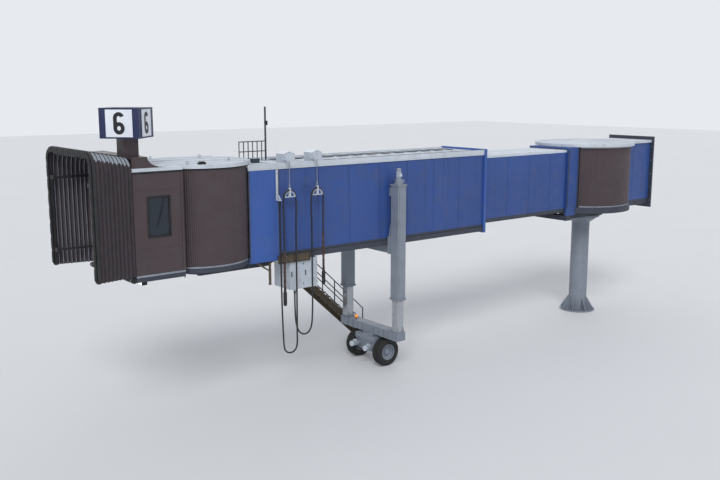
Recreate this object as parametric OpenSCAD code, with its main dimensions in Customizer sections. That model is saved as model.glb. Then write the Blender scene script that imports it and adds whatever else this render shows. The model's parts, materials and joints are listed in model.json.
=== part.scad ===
// Apron drive boarding bridge: a rotunda on a column, two telescoping tunnels,
// a wheeled lift carriage, a turning cab with a folding canopy, and service stairs.
// Millimetres. +X runs from the terminal to the aircraft, +Z is up.
// The origin is the middle of the column's base, on the ground.

/* [Levels] */
// Height of the inner tunnel's walking floor above the apron
floor_z = 4800; // [4400:50:5200]

/* [Inner tunnel] */
// Length of the inner tunnel
inner_len = 9500; // [8500:100:9900]
// Clear width inside the inner tunnel
inner_clear_w = 1700; // [1500:20:1760]
// Clear height inside the inner tunnel
inner_clear_h = 2300; // [2150:10:2400]
// Thickness of the inner tunnel's floor frame
inner_deck_t = 150; // [120:5:170]
// Thickness of the inner tunnel's roof
inner_roof_t = 90; // [60:5:120]
// Length of the ramp from the inner floor down to the outer floor
ramp_len = 1400; // [1200:20:1500]

/* [Outer tunnel] */
// Length of the outer tunnel, measured on its side walls
outer_len = 10100; // [9800:100:11000]
// Distance from the column to the outer tunnel's rear end, as docked
outer_x0 = 7400; // [7000:50:8500]
// Thickness of both tunnels' side walls
wall_t = 70; // [50:5:80]
// Gap between the tunnels at the sides
side_gap = 110; // [90:5:120]
// Gap between the tunnels' floors
under_gap = 70; // [60:2:90]
// Gap between the tunnels' roofs
over_gap = 100; // [70:5:130]
// Thickness of the outer tunnel's floor frame
outer_deck_t = 160; // [140:5:240]
// Thickness of the outer tunnel's roof
outer_roof_t = 100; // [80:5:140]
// Length of the plain panel at the cab end of the outer tunnel
end_panel_l = 1100; // [900:20:1150]
// Spacing of the wall panels' joints
panel_pitch = 1250; // [900:50:1600]

/* [Rotunda] */
// Outer radius of the rotunda's floor
rotunda_r = 2000; // [1950:10:2040]
// Depth of the rotunda's floor
rotunda_deck_t = 250; // [200:10:260]
// Distance from the column to the terminal's wall
corridor_l = 3400; // [3000:50:4500]
// Diameter of the column
column_d = 760; // [600:20:900]
// Diameter of the column's base plate
base_d = 1500; // [1400:20:1800]
// Diameter of the circle of anchor bolts
anchor_pcd = 1250; // [1200:10:1300]
// Diameter of an anchor bolt's hole
anchor_d = 42; // [30:1:50]

/* [Carriage] */
// Distance from the outer tunnel's cab end back to the lift carriage
drive_back = 5700; // [5000:50:6200]
// Gap between the outer tunnel's side and a lift leg
leg_gap = 120; // [90:10:220]
// Side of the upper leg's square tube
upper_leg_w = 360; // [320:10:400]
// Wall of the upper leg's tube
upper_leg_wall = 30; // [20:2:34]
// Radius of the tyres
tyre_r = 500; // [450:10:560]
// Width of a tyre
tyre_w = 340; // [280:10:380]
// Distance between the two tyres, centre to centre
tyre_track = 1500; // [1400:20:1700]

/* [Cab] */
// Outer radius of the cab's round floor
cab_r = 1575; // [1540:5:1620]
// Half the width of the cab's front part
cab_half_w = 1500; // [1460:10:1600]
// Distance from the cab's pivot to its front
cab_front = 2640; // [2300:10:2750]
// Height of the hood above the cab's roof
hood_h = 300; // [240:10:500]
// Length of the hood's curved back
hood_slope_l = 520; // [300:10:700]
// Length of the hood's flat top
hood_flat_l = 450; // [400:10:560]
// Length of the canopy from the cab to its front frame
canopy_l = 1070; // [950:10:1200]
// Number of pleats in the canopy
pleats = 9; // [6:1:11]

/* [Sign] */
// Side of the square sign box
sign_w = 1100; // [800:10:1200]
// Height of the sign box
sign_h = 810; // [700:10:1000]
// Height of the post under the sign box
sign_post_h = 490; // [250:10:600]
// Angle by which the sign box is turned from the cab
sign_turn = 46; // [0:1:60]

/* [Stairs] */
// Distance from the outer tunnel's cab end back to the top of the stairs
stair_back = 2300; // [2250:10:2500]
// Slope of the stairs in degrees
stair_slope = 43; // [40:0.5:46]
// Width of the stairs over the stringers
stair_w = 800; // [700:10:900]
// Height of one step
riser = 190; // [170:1:210]
// Length of the landing
landing_l = 1300; // [1250:10:1320]

/* [Hidden] */
$fn = 48;

// Colour of the curtains and the cab's sheets
bronze = [0.27, 0.22, 0.24];

// Clearance between pieces that move past each other
run_gap = 10;
// Gap at a bearing seat or a sliding rod
seat_gap = 0.4;
// Radial clearance of a hinge pin
pin_gap = 0.05;

// Levels and widths of the two tunnels
inner_w = inner_clear_w + 2 * wall_t;
inner_bottom = floor_z - inner_deck_t;
inner_ceiling = floor_z + inner_clear_h;
inner_top = inner_ceiling + inner_roof_t;
outer_clear_w = inner_w + 2 * side_gap;
outer_w = outer_clear_w + 2 * wall_t;
outer_deck_z = inner_bottom - under_gap;
outer_bottom = outer_deck_z - outer_deck_t;
outer_ceiling = inner_top + over_gap;
outer_top = outer_ceiling + outer_roof_t;
roof_lip = 40;
groove_w = 14;
groove_d = 8;
deck_plate = 50;
rail_w = 110;

// Stations along the bridge
inner_x0 = rotunda_r + 100;
inner_x1 = inner_x0 + inner_len;
outer_x1 = outer_x0 + outer_len;
end_panel_x = outer_x1 - end_panel_l;
end_panel_proud = 20;
chord_t = 40;
chord_h = 150;
chord_drop = 20;

// Rotunda and swing portal
rotunda_bottom = floor_z - rotunda_deck_t;
rotunda_ceiling = inner_top + 100;
rotunda_roof_t = 110;
rotunda_roof_r = rotunda_r + 80;
curtain_t = 30;
curtain_r = rotunda_r - 65;
slat_pitch = 62;
slat_gap = 8;
portal_gap = 30;
portal_t = 70;
portal_y = inner_w / 2 + portal_gap;
portal_x = sqrt(pow(curtain_r - curtain_t, 2) - pow(portal_y, 2)) - 10;
portal_x1 = inner_x0 + 250;
portal_top = inner_top + 90;
portal_edge = atan2(portal_y + portal_t, portal_x);
hinge_x = inner_x0 + 100;
hinge_z = inner_bottom - 90;
hinge_pin_r = 40;
arm_y = 680;
arm_w = 160;
arm_h = 200;
arm_top = rotunda_bottom - 60;
ring_r = column_d / 2 + 520;
collar_t = 100;

// Lift carriage
drive_x = outer_x1 - drive_back;
drive_beam_t = 300;
leg_y = outer_w / 2 + leg_gap + upper_leg_w / 2;
lower_leg_w = upper_leg_w - 2 * upper_leg_wall - 2 * run_gap;
upper_leg_drop = 800;
upper_leg_top = outer_ceiling - upper_leg_drop;
upper_leg_foot = 2500;
leg_foot_flange = 25;
leg_overlap = 2400;
lower_leg_top = upper_leg_foot + leg_overlap;
axle_z = tyre_r;
axle_r = 85;
bogie_top = 2 * tyre_r;
slew_t = 60;
slew_r = 330;
carriage_z0 = bogie_top + slew_t;
carriage_h = 300;
carriage_z1 = carriage_z0 + carriage_h;
hub_r = 0.56 * tyre_r;
drive_motor_r = 90;
drive_motor_l = 330;
motor_y = 0.7 * (tyre_track / 2 - tyre_w / 2 - 40);
motor_z = axle_z + 130;

// Cab
cab_x = outer_x1 + sqrt(pow(cab_r + run_gap, 2) - pow(outer_w / 2, 2));
cab_bottom = outer_bottom + 20;
cab_floor_z = outer_deck_z;
cab_roof_t = 110;
cab_roof_r = cab_r + 40;
cab_ceiling = outer_top + roof_lip + run_gap;
cab_top = cab_ceiling + cab_roof_t;
cab_wall_t = 70;
cab_curtain_r = cab_r - 15;
cab_back = cab_r * cos(42);
cab_wing_y = sqrt(pow(cab_curtain_r, 2) - pow(cab_back, 2)) - 20;
window_w = 600;
window_h = 1050;
window_sill = 1100;
glass_t = 16;
bumper_d = 140;
slew_plate_r = 900;
cab_pin_r = 120;
cab_pin_h = 100;

// Canopy
canopy_x0 = cab_front;
frame_t = 80;
canopy_foot = cab_floor_z + 20;
canopy_top0 = cab_top + hood_h;
canopy_top1 = canopy_top0 + 210;
canopy_w0 = cab_half_w;
canopy_w1 = cab_half_w + 190;
canopy_round = 420;
pleat_depth = 60;
cloth_t = 14;
rod_r = 34;
sleeve_r = 48;
rod_sleeve_l = 300;
rod_z = [cab_floor_z + 500, cab_ceiling - 270];
rod_y = cab_half_w - cab_wall_t - 110;

// Roof and side equipment of the outer tunnel
hoist_x = [outer_x1 - 1300, outer_x1 - 2335];
hoist_w = [420, 400];
hoist_h = 360;
hoist_deep = 410;
hoist_reach = 300;
cable_d = 52;
saddle_r = 219;
saddle_drop = 1000;
saddle_z = outer_top - saddle_drop;
rail_x = outer_x1 - 1390;
rail_y = -300;
rail_posts = 6;
rail_pitch = 165;
roof_rail_h = 620;
mast_h = 1700;
fixture_x = outer_x1 - 900;
fixture_y = 200;
hoist_shift = 210;
cabinet_l = 1050;
cabinet_w = 900;
cabinet_h = 950;
cabinet_x = end_panel_x - 350 - cabinet_l;
cabinet_y = outer_w / 2 + 30;
carrier_x0 = end_panel_x - 250;

// Service door, landing and stairs
door_w = 850;
door_h = 2050;
stair_x = outer_x1 - stair_back;
door_x = stair_x + landing_l / 2;
landing_z = outer_deck_z - 20;
landing_t = 60;
stair_y = -(leg_y + upper_leg_w / 2 + 170);
landing_y = stair_y - stair_w;
stringer_t = 50;
stair_wheel_r = 110;
rail_h = 1000;
tube_r = 19;
post_r = 22;
stair_drop = landing_z - stair_wheel_r;
stair_len = stair_drop / sin(stair_slope);
steps = floor(stair_drop / riser);
stair_run = stair_len * cos(stair_slope);
foot_x = stair_x - stair_run;
stair_gap = 20;
stair_pin_x = stair_x - 70;
stair_pin_z = landing_z - 60;
stair_pin_r = 20;
lug_t = 40;

sign_x = cab_front - hood_flat_l / 2;
sign_y = 780;
sign_post_w = 430;
gusset_t = 30;

// Routes of the two ground power cables, from the middle of each saddle: a hanging
// loop, then the saddle's arc, then the end that hangs free
cable_y = outer_w / 2 + hoist_reach;
front_loop = [[290, -110, -100], [290, -110, -900], [290, -100, -1900], [290, -85, -2900],
    [284, -65, -3800], [272, -45, -4400], [260, -38, -4660], [228, -32, -4800],
    [146, -24, -4890], [30, -16, -4920], [-86, -8, -4890], [-168, -2, -4800],
    [-202, 0, -4660], [-212, 0, -4300], [-219, 0, -3500], [-219, 0, -2600],
    [-219, 0, -1700], [-219, 0, -900]];
rear_loop = [[660, -350, -3040], [660, -350, -3450], [660, -330, -3850], [652, -295, -4120],
    [622, -252, -4290], [558, -205, -4405], [455, -155, -4455], [350, -110, -4420],
    [272, -70, -4310], [234, -40, -4130], [222, -15, -3800], [219, 0, -3300],
    [219, 0, -2500], [219, 0, -1700], [219, 0, -900]];
saddle_arc = [for (a = [180:-22.5:0]) saddle_r * [cos(a), 0, sin(a)]];
front_end = [[219, 0, -800], [219, 0, -1680]];
rear_end = [[-219, 0, -600], [-219, 0, -1200]];
front_route = [for (p = concat(front_loop, saddle_arc, front_end))
    p + [hoist_x[0], cable_y, saddle_z]];
rear_route = [for (p = concat(rear_loop, flip(saddle_arc), rear_end))
    p + [hoist_x[1], cable_y, saddle_z]];
gland_h = outer_bottom - 60 - cabinet_h - rear_route[0].z;
plug_l = 560;
plug_d = 120;
sleeve_l = 1130;
sleeve_d = 76;

// A block between two opposite corners
module block(a, b) {
    translate([min(a.x, b.x), min(a.y, b.y), min(a.z, b.z)])
        cube([abs(b.x - a.x), abs(b.y - a.y), abs(b.z - a.z)]);
}

// The same shape on both sides of the bridge
module both_sides() {
    children();
    mirror([0, 1, 0]) children();
}

// A profile drawn in X and Z, as wide as w, centred on the bridge
module side_profile(w) {
    translate([0, w / 2, 0]) rotate([90, 0, 0]) linear_extrude(w) children();
}

// A round bar between two points of one height or one station
module bar_z(p, h, r) { translate(p) cylinder(r = r, h = h, $fn = 12); }
module bar_x(p, l, r, n = 12) { translate(p) rotate([0, 90, 0]) cylinder(r = r, h = l, $fn = n); }
module bar_y(p, l, r, n = 12) { translate(p) rotate([-90, 0, 0]) cylinder(r = r, h = l, $fn = n); }

// A floor frame: a deck plate on two side rails and cross beams
module floor_frame(x0, x1, w, z0, t) {
    block([x0, -w / 2, z0 + t - deck_plate], [x1, w / 2, z0 + t]);
    both_sides() block([x0, w / 2 - rail_w, z0], [x1, w / 2, z0 + t]);
    beams = ceil((x1 - x0) / panel_pitch);
    for (i = [0:beams]) {
        x = x0 + i * (x1 - x0 - rail_w) / beams;
        block([x, rail_w - w / 2 - 1, z0], [x + rail_w, w / 2 - rail_w + 1, z0 + t]);
    }
}

// Grooves between the panels of a side wall, cut into its outer face
module panel_grooves(x0, x1, y, z0, z1) {
    for (i = [1:floor((x1 - x0 - groove_w) / panel_pitch)]) {
        x = x0 + i * panel_pitch;
        block([x, y - groove_d, z0 - 1], [x + groove_w, y + 1, z1 + 1]);
    }
}

// The round space in which the cab turns
module cab_sweep() {
    translate([cab_x, 0, 0]) cylinder(r = cab_r + run_gap, h = 2 * outer_top, $fn = 96);
}

// Corners of a slatted curtain seen from above, from angle a0 to angle a1
function curtain_points(r, a0, a1) =
    let (count = round((a1 - a0) * PI / 180 * r / slat_pitch), step = (a1 - a0) / count,
        edge = slat_gap / r * 180 / PI)
    concat(
        [for (i = [0:count - 1], side = [0, 1], out = [side, 1 - side])
            (r - (1 - out) * slat_gap) * dir(a0 + (i + side) * step + (1 - 2 * side) * out * edge)],
        [for (i = [count:-1:0]) (r - curtain_t) * dir(a0 + i * step)]);
function dir(a) = [cos(a), sin(a)];

// Base: column, rotunda and the fixed corridor
module column() {
    flange_z = rotunda_bottom - 50;
    color("slategray") difference() {
        union() {
            cylinder(d = base_d, h = 50, $fn = 96);
            cylinder(d = column_d, h = rotunda_bottom, $fn = 96);
            translate([0, 0, arm_top - arm_h - collar_t - seat_gap])
                cylinder(r = ring_r - 120, h = collar_t, $fn = 96);
            translate([0, 0, arm_top - arm_h - collar_t - seat_gap - 260])
                cylinder(r1 = column_d / 2, r2 = ring_r - 160, h = 260, $fn = 96);
            for (a = [0:45:315]) rotate(a + 22.5) side_profile(gusset_t)
                polygon([[column_d / 2 - 20, 40], [base_d / 2 - 20, 40], [base_d / 2 - 20, 90],
                    [column_d / 2, 620], [column_d / 2 - 20, 620]]);
        }
        for (a = [0:30:330]) rotate(a) translate([anchor_pcd / 2, 0, -1])
            cylinder(d = anchor_d, h = 52, $fn = 32);
    }
}

module rotunda_floor() {
    color("dimgray") {
        translate([0, 0, rotunda_bottom]) cylinder(r = rotunda_r, h = rotunda_deck_t, $fn = 96);
        block([-corridor_l, -portal_y - portal_t, rotunda_bottom], [0, portal_y + portal_t, floor_z]);
    }
}

module rotunda_roof() {
    half = portal_y + portal_t + 60;
    color("silver") {
        translate([0, 0, rotunda_ceiling])
            cylinder(r = rotunda_roof_r, h = rotunda_roof_t, $fn = 96);
        translate([0, 0, rotunda_ceiling + rotunda_roof_t - 1])
            cylinder(r1 = rotunda_roof_r - 60, r2 = 300, h = 130, $fn = 96);
        block([-corridor_l, -half, rotunda_ceiling], [0, half, rotunda_ceiling + rotunda_roof_t]);
    }
}

module corridor_walls() {
    color("steelblue") both_sides() difference() {
        block([-corridor_l, portal_y, floor_z], [-portal_x, portal_y + portal_t, rotunda_ceiling]);
        panel_grooves(-corridor_l, -portal_x, portal_y + portal_t, floor_z, rotunda_ceiling);
    }
}

module terminal_flange() {
    out = 150;
    deep = 80;
    w = portal_y + portal_t;
    color("slategray") difference() {
        block([-corridor_l - deep, -w - out, rotunda_bottom - out],
            [-corridor_l, w + out, rotunda_ceiling + rotunda_roof_t + out]);
        block([-corridor_l - deep - 1, -portal_y, floor_z], [-corridor_l + 1, portal_y, rotunda_ceiling]);
        for (y = [-w - out / 2, w + out / 2], k = [0:4])
            translate([-corridor_l - deep - 1, y, rotunda_bottom + k * 600 + 150])
                rotate([0, 90, 0]) cylinder(d = 26, h = deep + 2, $fn = 32);
    }
}

// Swing frame: turns round the column and carries the inner tunnel's hinge
module swing_ring() {
    z = arm_top - arm_h;
    color("slategray") difference() {
        union() {
            translate([0, 0, z]) cylinder(r = ring_r, h = arm_h, $fn = 96);
            both_sides() block([0, arm_y - arm_w / 2, z], [portal_x1, arm_y + arm_w / 2, arm_top]);
            block([rotunda_r + 30, -portal_y - portal_t, z], [portal_x1, portal_y + portal_t, arm_top]);
            both_sides() translate([hinge_x, arm_y - arm_w / 2, 0]) rotate([-90, 0, 0])
                linear_extrude(arm_w / 2 - 3) {
                    translate([0, -hinge_z]) circle(r = 75, $fn = 32);
                    translate([-75, -hinge_z]) square([150, hinge_z - arm_top + 20]);
                }
        }
        translate([0, 0, z - 1]) cylinder(r = column_d / 2 + seat_gap, h = arm_h + 2, $fn = 96);
        both_sides() translate([hinge_x, arm_y - arm_w, hinge_z]) rotate([-90, 0, 0])
            cylinder(r = hinge_pin_r + pin_gap, h = arm_w * 1.5 - 4, $fn = 32);
    }
}

module swing_portal() {
    color("steelblue") {
        both_sides() {
            block([portal_x, portal_y, floor_z + run_gap], [portal_x1, portal_y + portal_t, portal_top]);
            block([rotunda_r + 30, portal_y, arm_top],
                [portal_x1, portal_y + portal_t, floor_z + 2 * run_gap]);
        }
        block([portal_x, -portal_y - portal_t, inner_top + 30],
            [portal_x1, portal_y + portal_t, portal_top]);
    }
}

module rotunda_curtains() {
    a0 = portal_edge + 0.6;
    a1 = 180 - portal_edge - 0.6;
    color(bronze) both_sides() translate([0, 0, floor_z + seat_gap / 2])
        linear_extrude(rotunda_ceiling - floor_z - seat_gap) polygon(curtain_points(curtain_r, a0, a1));
}

// Inner tunnel
module inner_floor() {
    shoe = 240;
    color("dimgray") {
        floor_frame(inner_x0, inner_x1, inner_w, inner_bottom, inner_deck_t);
        both_sides() {
            block([inner_x1 - shoe, inner_w / 2 - rail_w, outer_deck_z + seat_gap],
                [inner_x1, inner_w / 2, inner_bottom + 1]);
            translate([hinge_x, arm_y + 3, 0]) rotate([-90, 0, 0]) linear_extrude(arm_w / 2 - 6) {
                translate([0, -hinge_z]) circle(r = 60, $fn = 32);
                translate([-60, -floor_z + 20]) square([120, floor_z - 20 - hinge_z]);
            }
            bar_y([hinge_x, arm_y - arm_w / 2 - 10, hinge_z], arm_w, hinge_pin_r, 32);
        }
    }
}

module inner_walls() {
    y = inner_w / 2;
    color("steelblue") both_sides() difference() {
        block([inner_x0, y - wall_t, floor_z], [inner_x1, y, inner_ceiling]);
        panel_grooves(inner_x0, inner_x1, y, floor_z, inner_ceiling);
    }
}

module inner_roof() {
    color("silver") block([inner_x0, -inner_w / 2, inner_ceiling], [inner_x1, inner_w / 2, inner_top]);
}

module floor_ramp() {
    toe = outer_deck_z + run_gap / 2;
    w = inner_clear_w;
    color("dimgray") side_profile(w)
        polygon([[inner_x1, toe], [inner_x1 + ramp_len, toe], [inner_x1 + ramp_len, toe + 10],
            [inner_x1, floor_z]]);
}

// Outer tunnel
module outer_floor() {
    color("dimgray") difference() {
        union() {
            floor_frame(outer_x0, outer_x1, outer_w, outer_bottom, outer_deck_t);
            both_sides() block([outer_x0, outer_w / 2 - 1, outer_bottom - chord_drop],
                [end_panel_x, outer_w / 2 + chord_t, outer_bottom + chord_h]);
        }
        cab_sweep();
    }
}

module outer_wall() {
    y = outer_w / 2;
    difference() {
        block([outer_x0, y - wall_t, outer_deck_z], [outer_x1, y, outer_ceiling]);
        panel_grooves(outer_x0, end_panel_x - 200, y, outer_deck_z, outer_ceiling);
        cab_sweep();
    }
}

module outer_wall_left() {
    color("steelblue") outer_wall();
}

module outer_wall_right() {
    color("steelblue") difference() {
        mirror([0, 1, 0]) outer_wall();
        block([door_x - door_w / 2, -outer_w, outer_deck_z - 1],
            [door_x + door_w / 2, 0, outer_deck_z + door_h]);
    }
}

module outer_roof() {
    w = outer_w / 2 + roof_lip;
    color("silver") difference() {
        union() {
            block([outer_x0, -w, outer_ceiling], [outer_x1, w, outer_top]);
            both_sides() block([outer_x0, w - 50, outer_ceiling], [outer_x1, w, outer_top + roof_lip]);
        }
        cab_sweep();
    }
}

module end_panels() {
    y = outer_w / 2;
    color("royalblue") both_sides() difference() {
        block([end_panel_x, y, outer_bottom], [outer_x1, y + end_panel_proud, outer_ceiling]);
        cab_sweep();
    }
}

module rear_frame() {
    deep = 120;
    lip = 70;
    x0 = outer_x0 - deep;
    w = outer_w / 2 + lip;
    hole = inner_w / 2 + 2 * run_gap;
    color("slategray") {
        difference() {
            block([x0, -w, outer_bottom - lip], [outer_x0, w, outer_top + lip]);
            block([x0 - 1, -hole, inner_bottom - 2 * run_gap],
                [outer_x0 + 1, hole, inner_top + 2 * run_gap]);
        }
        both_sides() block([x0, inner_w / 2 - rail_w, inner_bottom - 2 * run_gap - 1],
            [outer_x0, inner_w / 2, inner_bottom - seat_gap]);
    }
}

module cab_carrier() {
    top = cab_bottom - seat_gap;
    deep = 260;
    beam_y = 560;
    beam_w = 180;
    beam_x1 = cab_x + 300;
    plate_t = 60;
    hub = 500;
    color("slategray") {
        both_sides() side_profile_at(beam_y, beam_w)
            polygon([[carrier_x0, outer_bottom - chord_drop - 1], [carrier_x0 + 400, top - deep],
                [beam_x1, top - deep], [beam_x1, top - plate_t + 20],
                [carrier_x0 + 550, top - plate_t + 20], [carrier_x0 + 550, outer_bottom],
                [carrier_x0, outer_bottom]]);
        translate([cab_x, 0, top - plate_t]) cylinder(r = slew_plate_r, h = plate_t, $fn = 96);
        translate([cab_x, 0, top - deep]) cylinder(r = hub, h = deep, $fn = 64);
        translate([cab_x, 0, top - 1]) cylinder(r = cab_pin_r, h = cab_pin_h + 1, $fn = 48);
    }
}

// A profile drawn in X and Z, t wide, with its middle at y
module side_profile_at(y, t) {
    translate([0, y, 0]) side_profile(t) children();
}

module service_door() {
    gap = 3;
    z0 = outer_deck_z;
    y = -outer_w / 2;
    x0 = door_x - door_w / 2 + gap;
    x1 = door_x + door_w / 2 - gap;
    pane_z = [1150, 1800];
    pane_side = 230;
    handle_x = x0 + 60;
    color("lightsteelblue") difference() {
        union() {
            block([x0, y + 10, z0], [x1, y + wall_t - 10, z0 + door_h - gap]);
            block([handle_x, y - 30, z0 + 980], [handle_x + 30, y + 11, z0 + 1080]);
        }
        block([x0 + pane_side, y - 1, z0 + pane_z[0]],
            [x1 - pane_side, y + wall_t + 1, z0 + pane_z[1]]);
    }
}

module landing() {
    x0 = stair_x;
    x1 = stair_x + landing_l;
    y1 = -outer_w / 2 - chord_t;
    color("darkolivegreen") {
        block([x0, landing_y, landing_z - landing_t], [x1, y1, landing_z]);
        for (x = [x0 + 120, x1 - 180]) side_bracket(x, 60, landing_y + 100, y1 - 1);
        for (y = [landing_y + stringer_t + 3, stair_y - stringer_t - 3 - lug_t]) difference() {
            block([stair_pin_x - 40, y, stair_pin_z - 40], [x0 + 80, y + lug_t, landing_z - 15]);
            bar_y([stair_pin_x, y - 1, stair_pin_z], lug_t + 2, stair_pin_r + pin_gap, 32);
        }
    }
}

// A bracket under the landing, from the floor frame out to y0
module side_bracket(x, t, y0, y1) {
    top = landing_z - landing_t;
    translate([x, 0, 0]) rotate([90, 0, 90]) linear_extrude(t)
        polygon([[y0, top + 1], [y0, top - 60], [y1 + 380, outer_bottom - 120],
            [y1 + 380, outer_bottom - chord_drop], [y1, outer_bottom - chord_drop], [y1, top + 1]]);
}

module landing_rails() {
    x1 = stair_x + landing_l - 30;
    x0 = stair_x + 30;
    y = landing_y + 30;
    yw = -outer_w / 2 - chord_t - 60;
    color("gray") {
        for (x = [x0, (x0 + x1) / 2, x1]) bar_z([x, y, landing_z], rail_h, post_r);
        for (yy = [(y + yw) / 2, yw]) bar_z([x1, yy, landing_z], rail_h, post_r);
        for (z = [rail_h / 2, rail_h]) {
            bar_x([x0 - tube_r, y, landing_z + z], x1 - x0 + 2 * tube_r, tube_r);
            bar_y([x1, y - tube_r, landing_z + z], yw - y + 2 * tube_r, tube_r);
        }
    }
}

// Cable hoists on the roof's edge, each with its arm, rope and saddle
module cable_hoists() {
    for (i = [0, 1]) translate([hoist_x[i], 0, 0]) cable_hoist(hoist_w[i]);
    cable_hook();
}

module cable_hoist(w) {
    z = outer_top;
    y1 = outer_w / 2 + roof_lip - 50;
    y0 = y1 - hoist_deep;
    arm_z = z + 150;
    inside_r = saddle_r - cable_d / 2 - 5;
    shackle_z = saddle_z + saddle_r + cable_d;
    cheek = cable_d / 2 + 6;
    color("gainsboro") {
        translate([-hoist_shift, (y0 + y1) / 2, 0]) side_profile(y1 - y0)
            polygon([[-w / 2, z], [w / 2, z], [w / 2, z + hoist_h - 70], [0, z + hoist_h],
                [-w / 2, z + hoist_h - 70]]);
        block([-30, y1 - 10, arm_z - 40], [30, cable_y + 40, arm_z + 40]);
    }
    color("dimgray") translate([0, cable_y, 0]) {
        bar_z([0, 0, shackle_z], arm_z - shackle_z - 30, 9);
        side_profile(50) difference() {
            translate([0, saddle_z]) circle(r = inside_r, $fn = 64);
            translate([0, saddle_z]) circle(r = inside_r - 25, $fn = 64);
            translate([-saddle_r, saddle_z - saddle_r]) square([2 * saddle_r, saddle_r]);
        }
        block([-inside_r + 1, -25, saddle_z], [inside_r - 1, 25, saddle_z + 24]);
        block([-25, -cheek - 8, saddle_z + 12], [25, cheek + 8, saddle_z + inside_r - 10]);
        both_sides() block([-25, cheek, saddle_z + 13], [25, cheek + 8, shackle_z + 20]);
        block([-25, -cheek - 8, shackle_z], [25, cheek + 8, shackle_z + 20]);
    }
}

// The front cable's fixed end hangs from the roof's edge
module cable_hook() {
    p = front_route[0];
    y = outer_w / 2 + roof_lip;
    color("dimgray") {
        block([p.x - 40, y, p.z], [p.x + 40, y + 12, outer_top]);
        translate([p.x, 0, 0]) rotate([90, 0, 90]) translate([0, 0, -15]) linear_extrude(30)
            polygon([[y + 11, p.z], [p.y + 45, p.z], [p.y + 45, p.z + 60], [y + 11, p.z + 220]]);
        block([p.x - 45, p.y - 45, p.z], [p.x + 45, p.y + 45, p.z + 20]);
    }
}

module roof_fittings() {
    z = outer_top;
    w = outer_w / 2 + roof_lip;
    mast_x = rail_x - 150;
    rail_l = (rail_posts - 1) * rail_pitch;
    bar_r = 16;
    mast_r = 30;
    pipe_x = outer_x0 + 400;
    pipe_l = hoist_x[1] - hoist_shift - hoist_w[1] / 2 - 60 - pipe_x;
    pipe_r = 20;
    box = [240, 160, 140];
    color("dimgray") {
        for (i = [0:rail_posts - 1]) bar_z([rail_x + i * rail_pitch, rail_y, z], roof_rail_h, bar_r);
        for (h = [roof_rail_h / 2, roof_rail_h])
            bar_x([mast_x, rail_y, z + h], rail_x + rail_l + bar_r - mast_x, bar_r);
        bar_z([mast_x, rail_y, z], mast_h, mast_r);
        for (k = [7, 10]) bar_x([pipe_x, w - k * pipe_r, z + pipe_r], pipe_l, pipe_r);
        translate([fixture_x, fixture_y, z]) cube(box);
    }
}

module power_cabinet() {
    top = outer_bottom;
    y0 = cabinet_y - cabinet_w;
    x1 = cabinet_x + cabinet_l;
    gland = rear_route[0];
    color("gainsboro") {
        block([cabinet_x, y0, top - 60 - cabinet_h], [x1, cabinet_y, top - 60]);
        for (x = [cabinet_x + 150, x1 - 250])
            block([x, y0 + 80, top - 61], [x + 100, outer_w / 2 - 40, top]);
    }
    color("dimgray") translate([gland.x, gland.y, gland.z]) cylinder(d = 90, h = gland_h + 1, $fn = 32);
}

// A channel bolted to the bottom chord, and a braced post that hangs beside the cab's carrier
module utility_bracket() {
    y0 = outer_w / 2 + chord_t;
    x0 = end_panel_x - 1100;
    x1 = end_panel_x + 90;
    z0 = outer_bottom - 120;
    channel_h = 260;
    channel_w = 55;
    plate = 10;
    post_w = 60;
    post_x = end_panel_x + 300;
    post_y = outer_w / 2 - rail_w + 20;
    post_foot = outer_bottom - 750;
    brace_w = 45;
    color("darkolivegreen") {
        block([x0, y0, z0], [x1, y0 + plate, z0 + channel_h]);
        for (z = [z0, z0 + channel_h - plate])
            block([x0, y0 + plate - 1, z], [x1, y0 + channel_w, z + plate]);
        for (x = [x0, (x0 + x1 - plate) / 2, x1 - plate])
            block([x, y0 + plate - 1, z0 + 1], [x + plate, y0 + channel_w - 10, z0 + channel_h - 1]);
        block([post_x, post_y, post_foot], [post_x + post_w, post_y + post_w, outer_bottom]);
        block([post_x - 30, post_y, post_foot], [post_x + post_w + 30, post_y + post_w, post_foot + plate]);
        side_profile_at(post_y + post_w / 2, brace_w) polygon([
            [post_x + post_w - 1, outer_bottom - 330], [post_x + post_w - 1, outer_bottom - 330 + brace_w],
            [post_x + 500 - brace_w, outer_bottom], [post_x + 500 + brace_w, outer_bottom],
            [post_x + 500 + brace_w, outer_bottom - 15]]);
    }
}

// A cable swept along its route
module cable(route) {
    n = len(route);
    sides = 8;
    function along(i) = let (d = route[min(i + 1, n - 1)] - route[max(i - 1, 0)]) d / norm(d);
    rings = [for (i = [0:n - 1]) let (t = along(i), c = cross([0, 1, 0], t), s = c / norm(c), u = cross(t, s))
        for (k = [0:sides - 1]) let (a = k * 360 / sides)
            route[i] + cable_d / 2 * (cos(a) * s + sin(a) * u)];
    walls = [for (i = [0:n - 2], k = [0:sides - 1], half = [0, 1])
        let (m = (k + 1) % sides, a = i * sides, b = a + sides)
        half == 0 ? [a + k, a + m, b + k] : [a + m, b + m, b + k]];
    ends = [[for (k = [sides - 1:-1:0]) k], [for (k = [0:sides - 1]) (n - 1) * sides + k]];
    color("black") polyhedron(points = rings, faces = concat(walls, ends));
}

module ground_power_cable_front() { cable(front_route); }
module ground_power_cable_rear() { cable(rear_route); }

// Each cable ends in a padded sleeve and a plug
module power_plugs() {
    for (r = [front_route, rear_route]) translate(r[len(r) - 1]) color("saddlebrown") {
        translate([0, 0, -sleeve_l]) cylinder(d = sleeve_d, h = sleeve_l, $fn = 32);
        translate([0, 0, -sleeve_l - plug_l]) cylinder(d = plug_d, h = plug_l, $fn = 32);
    }
}

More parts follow.
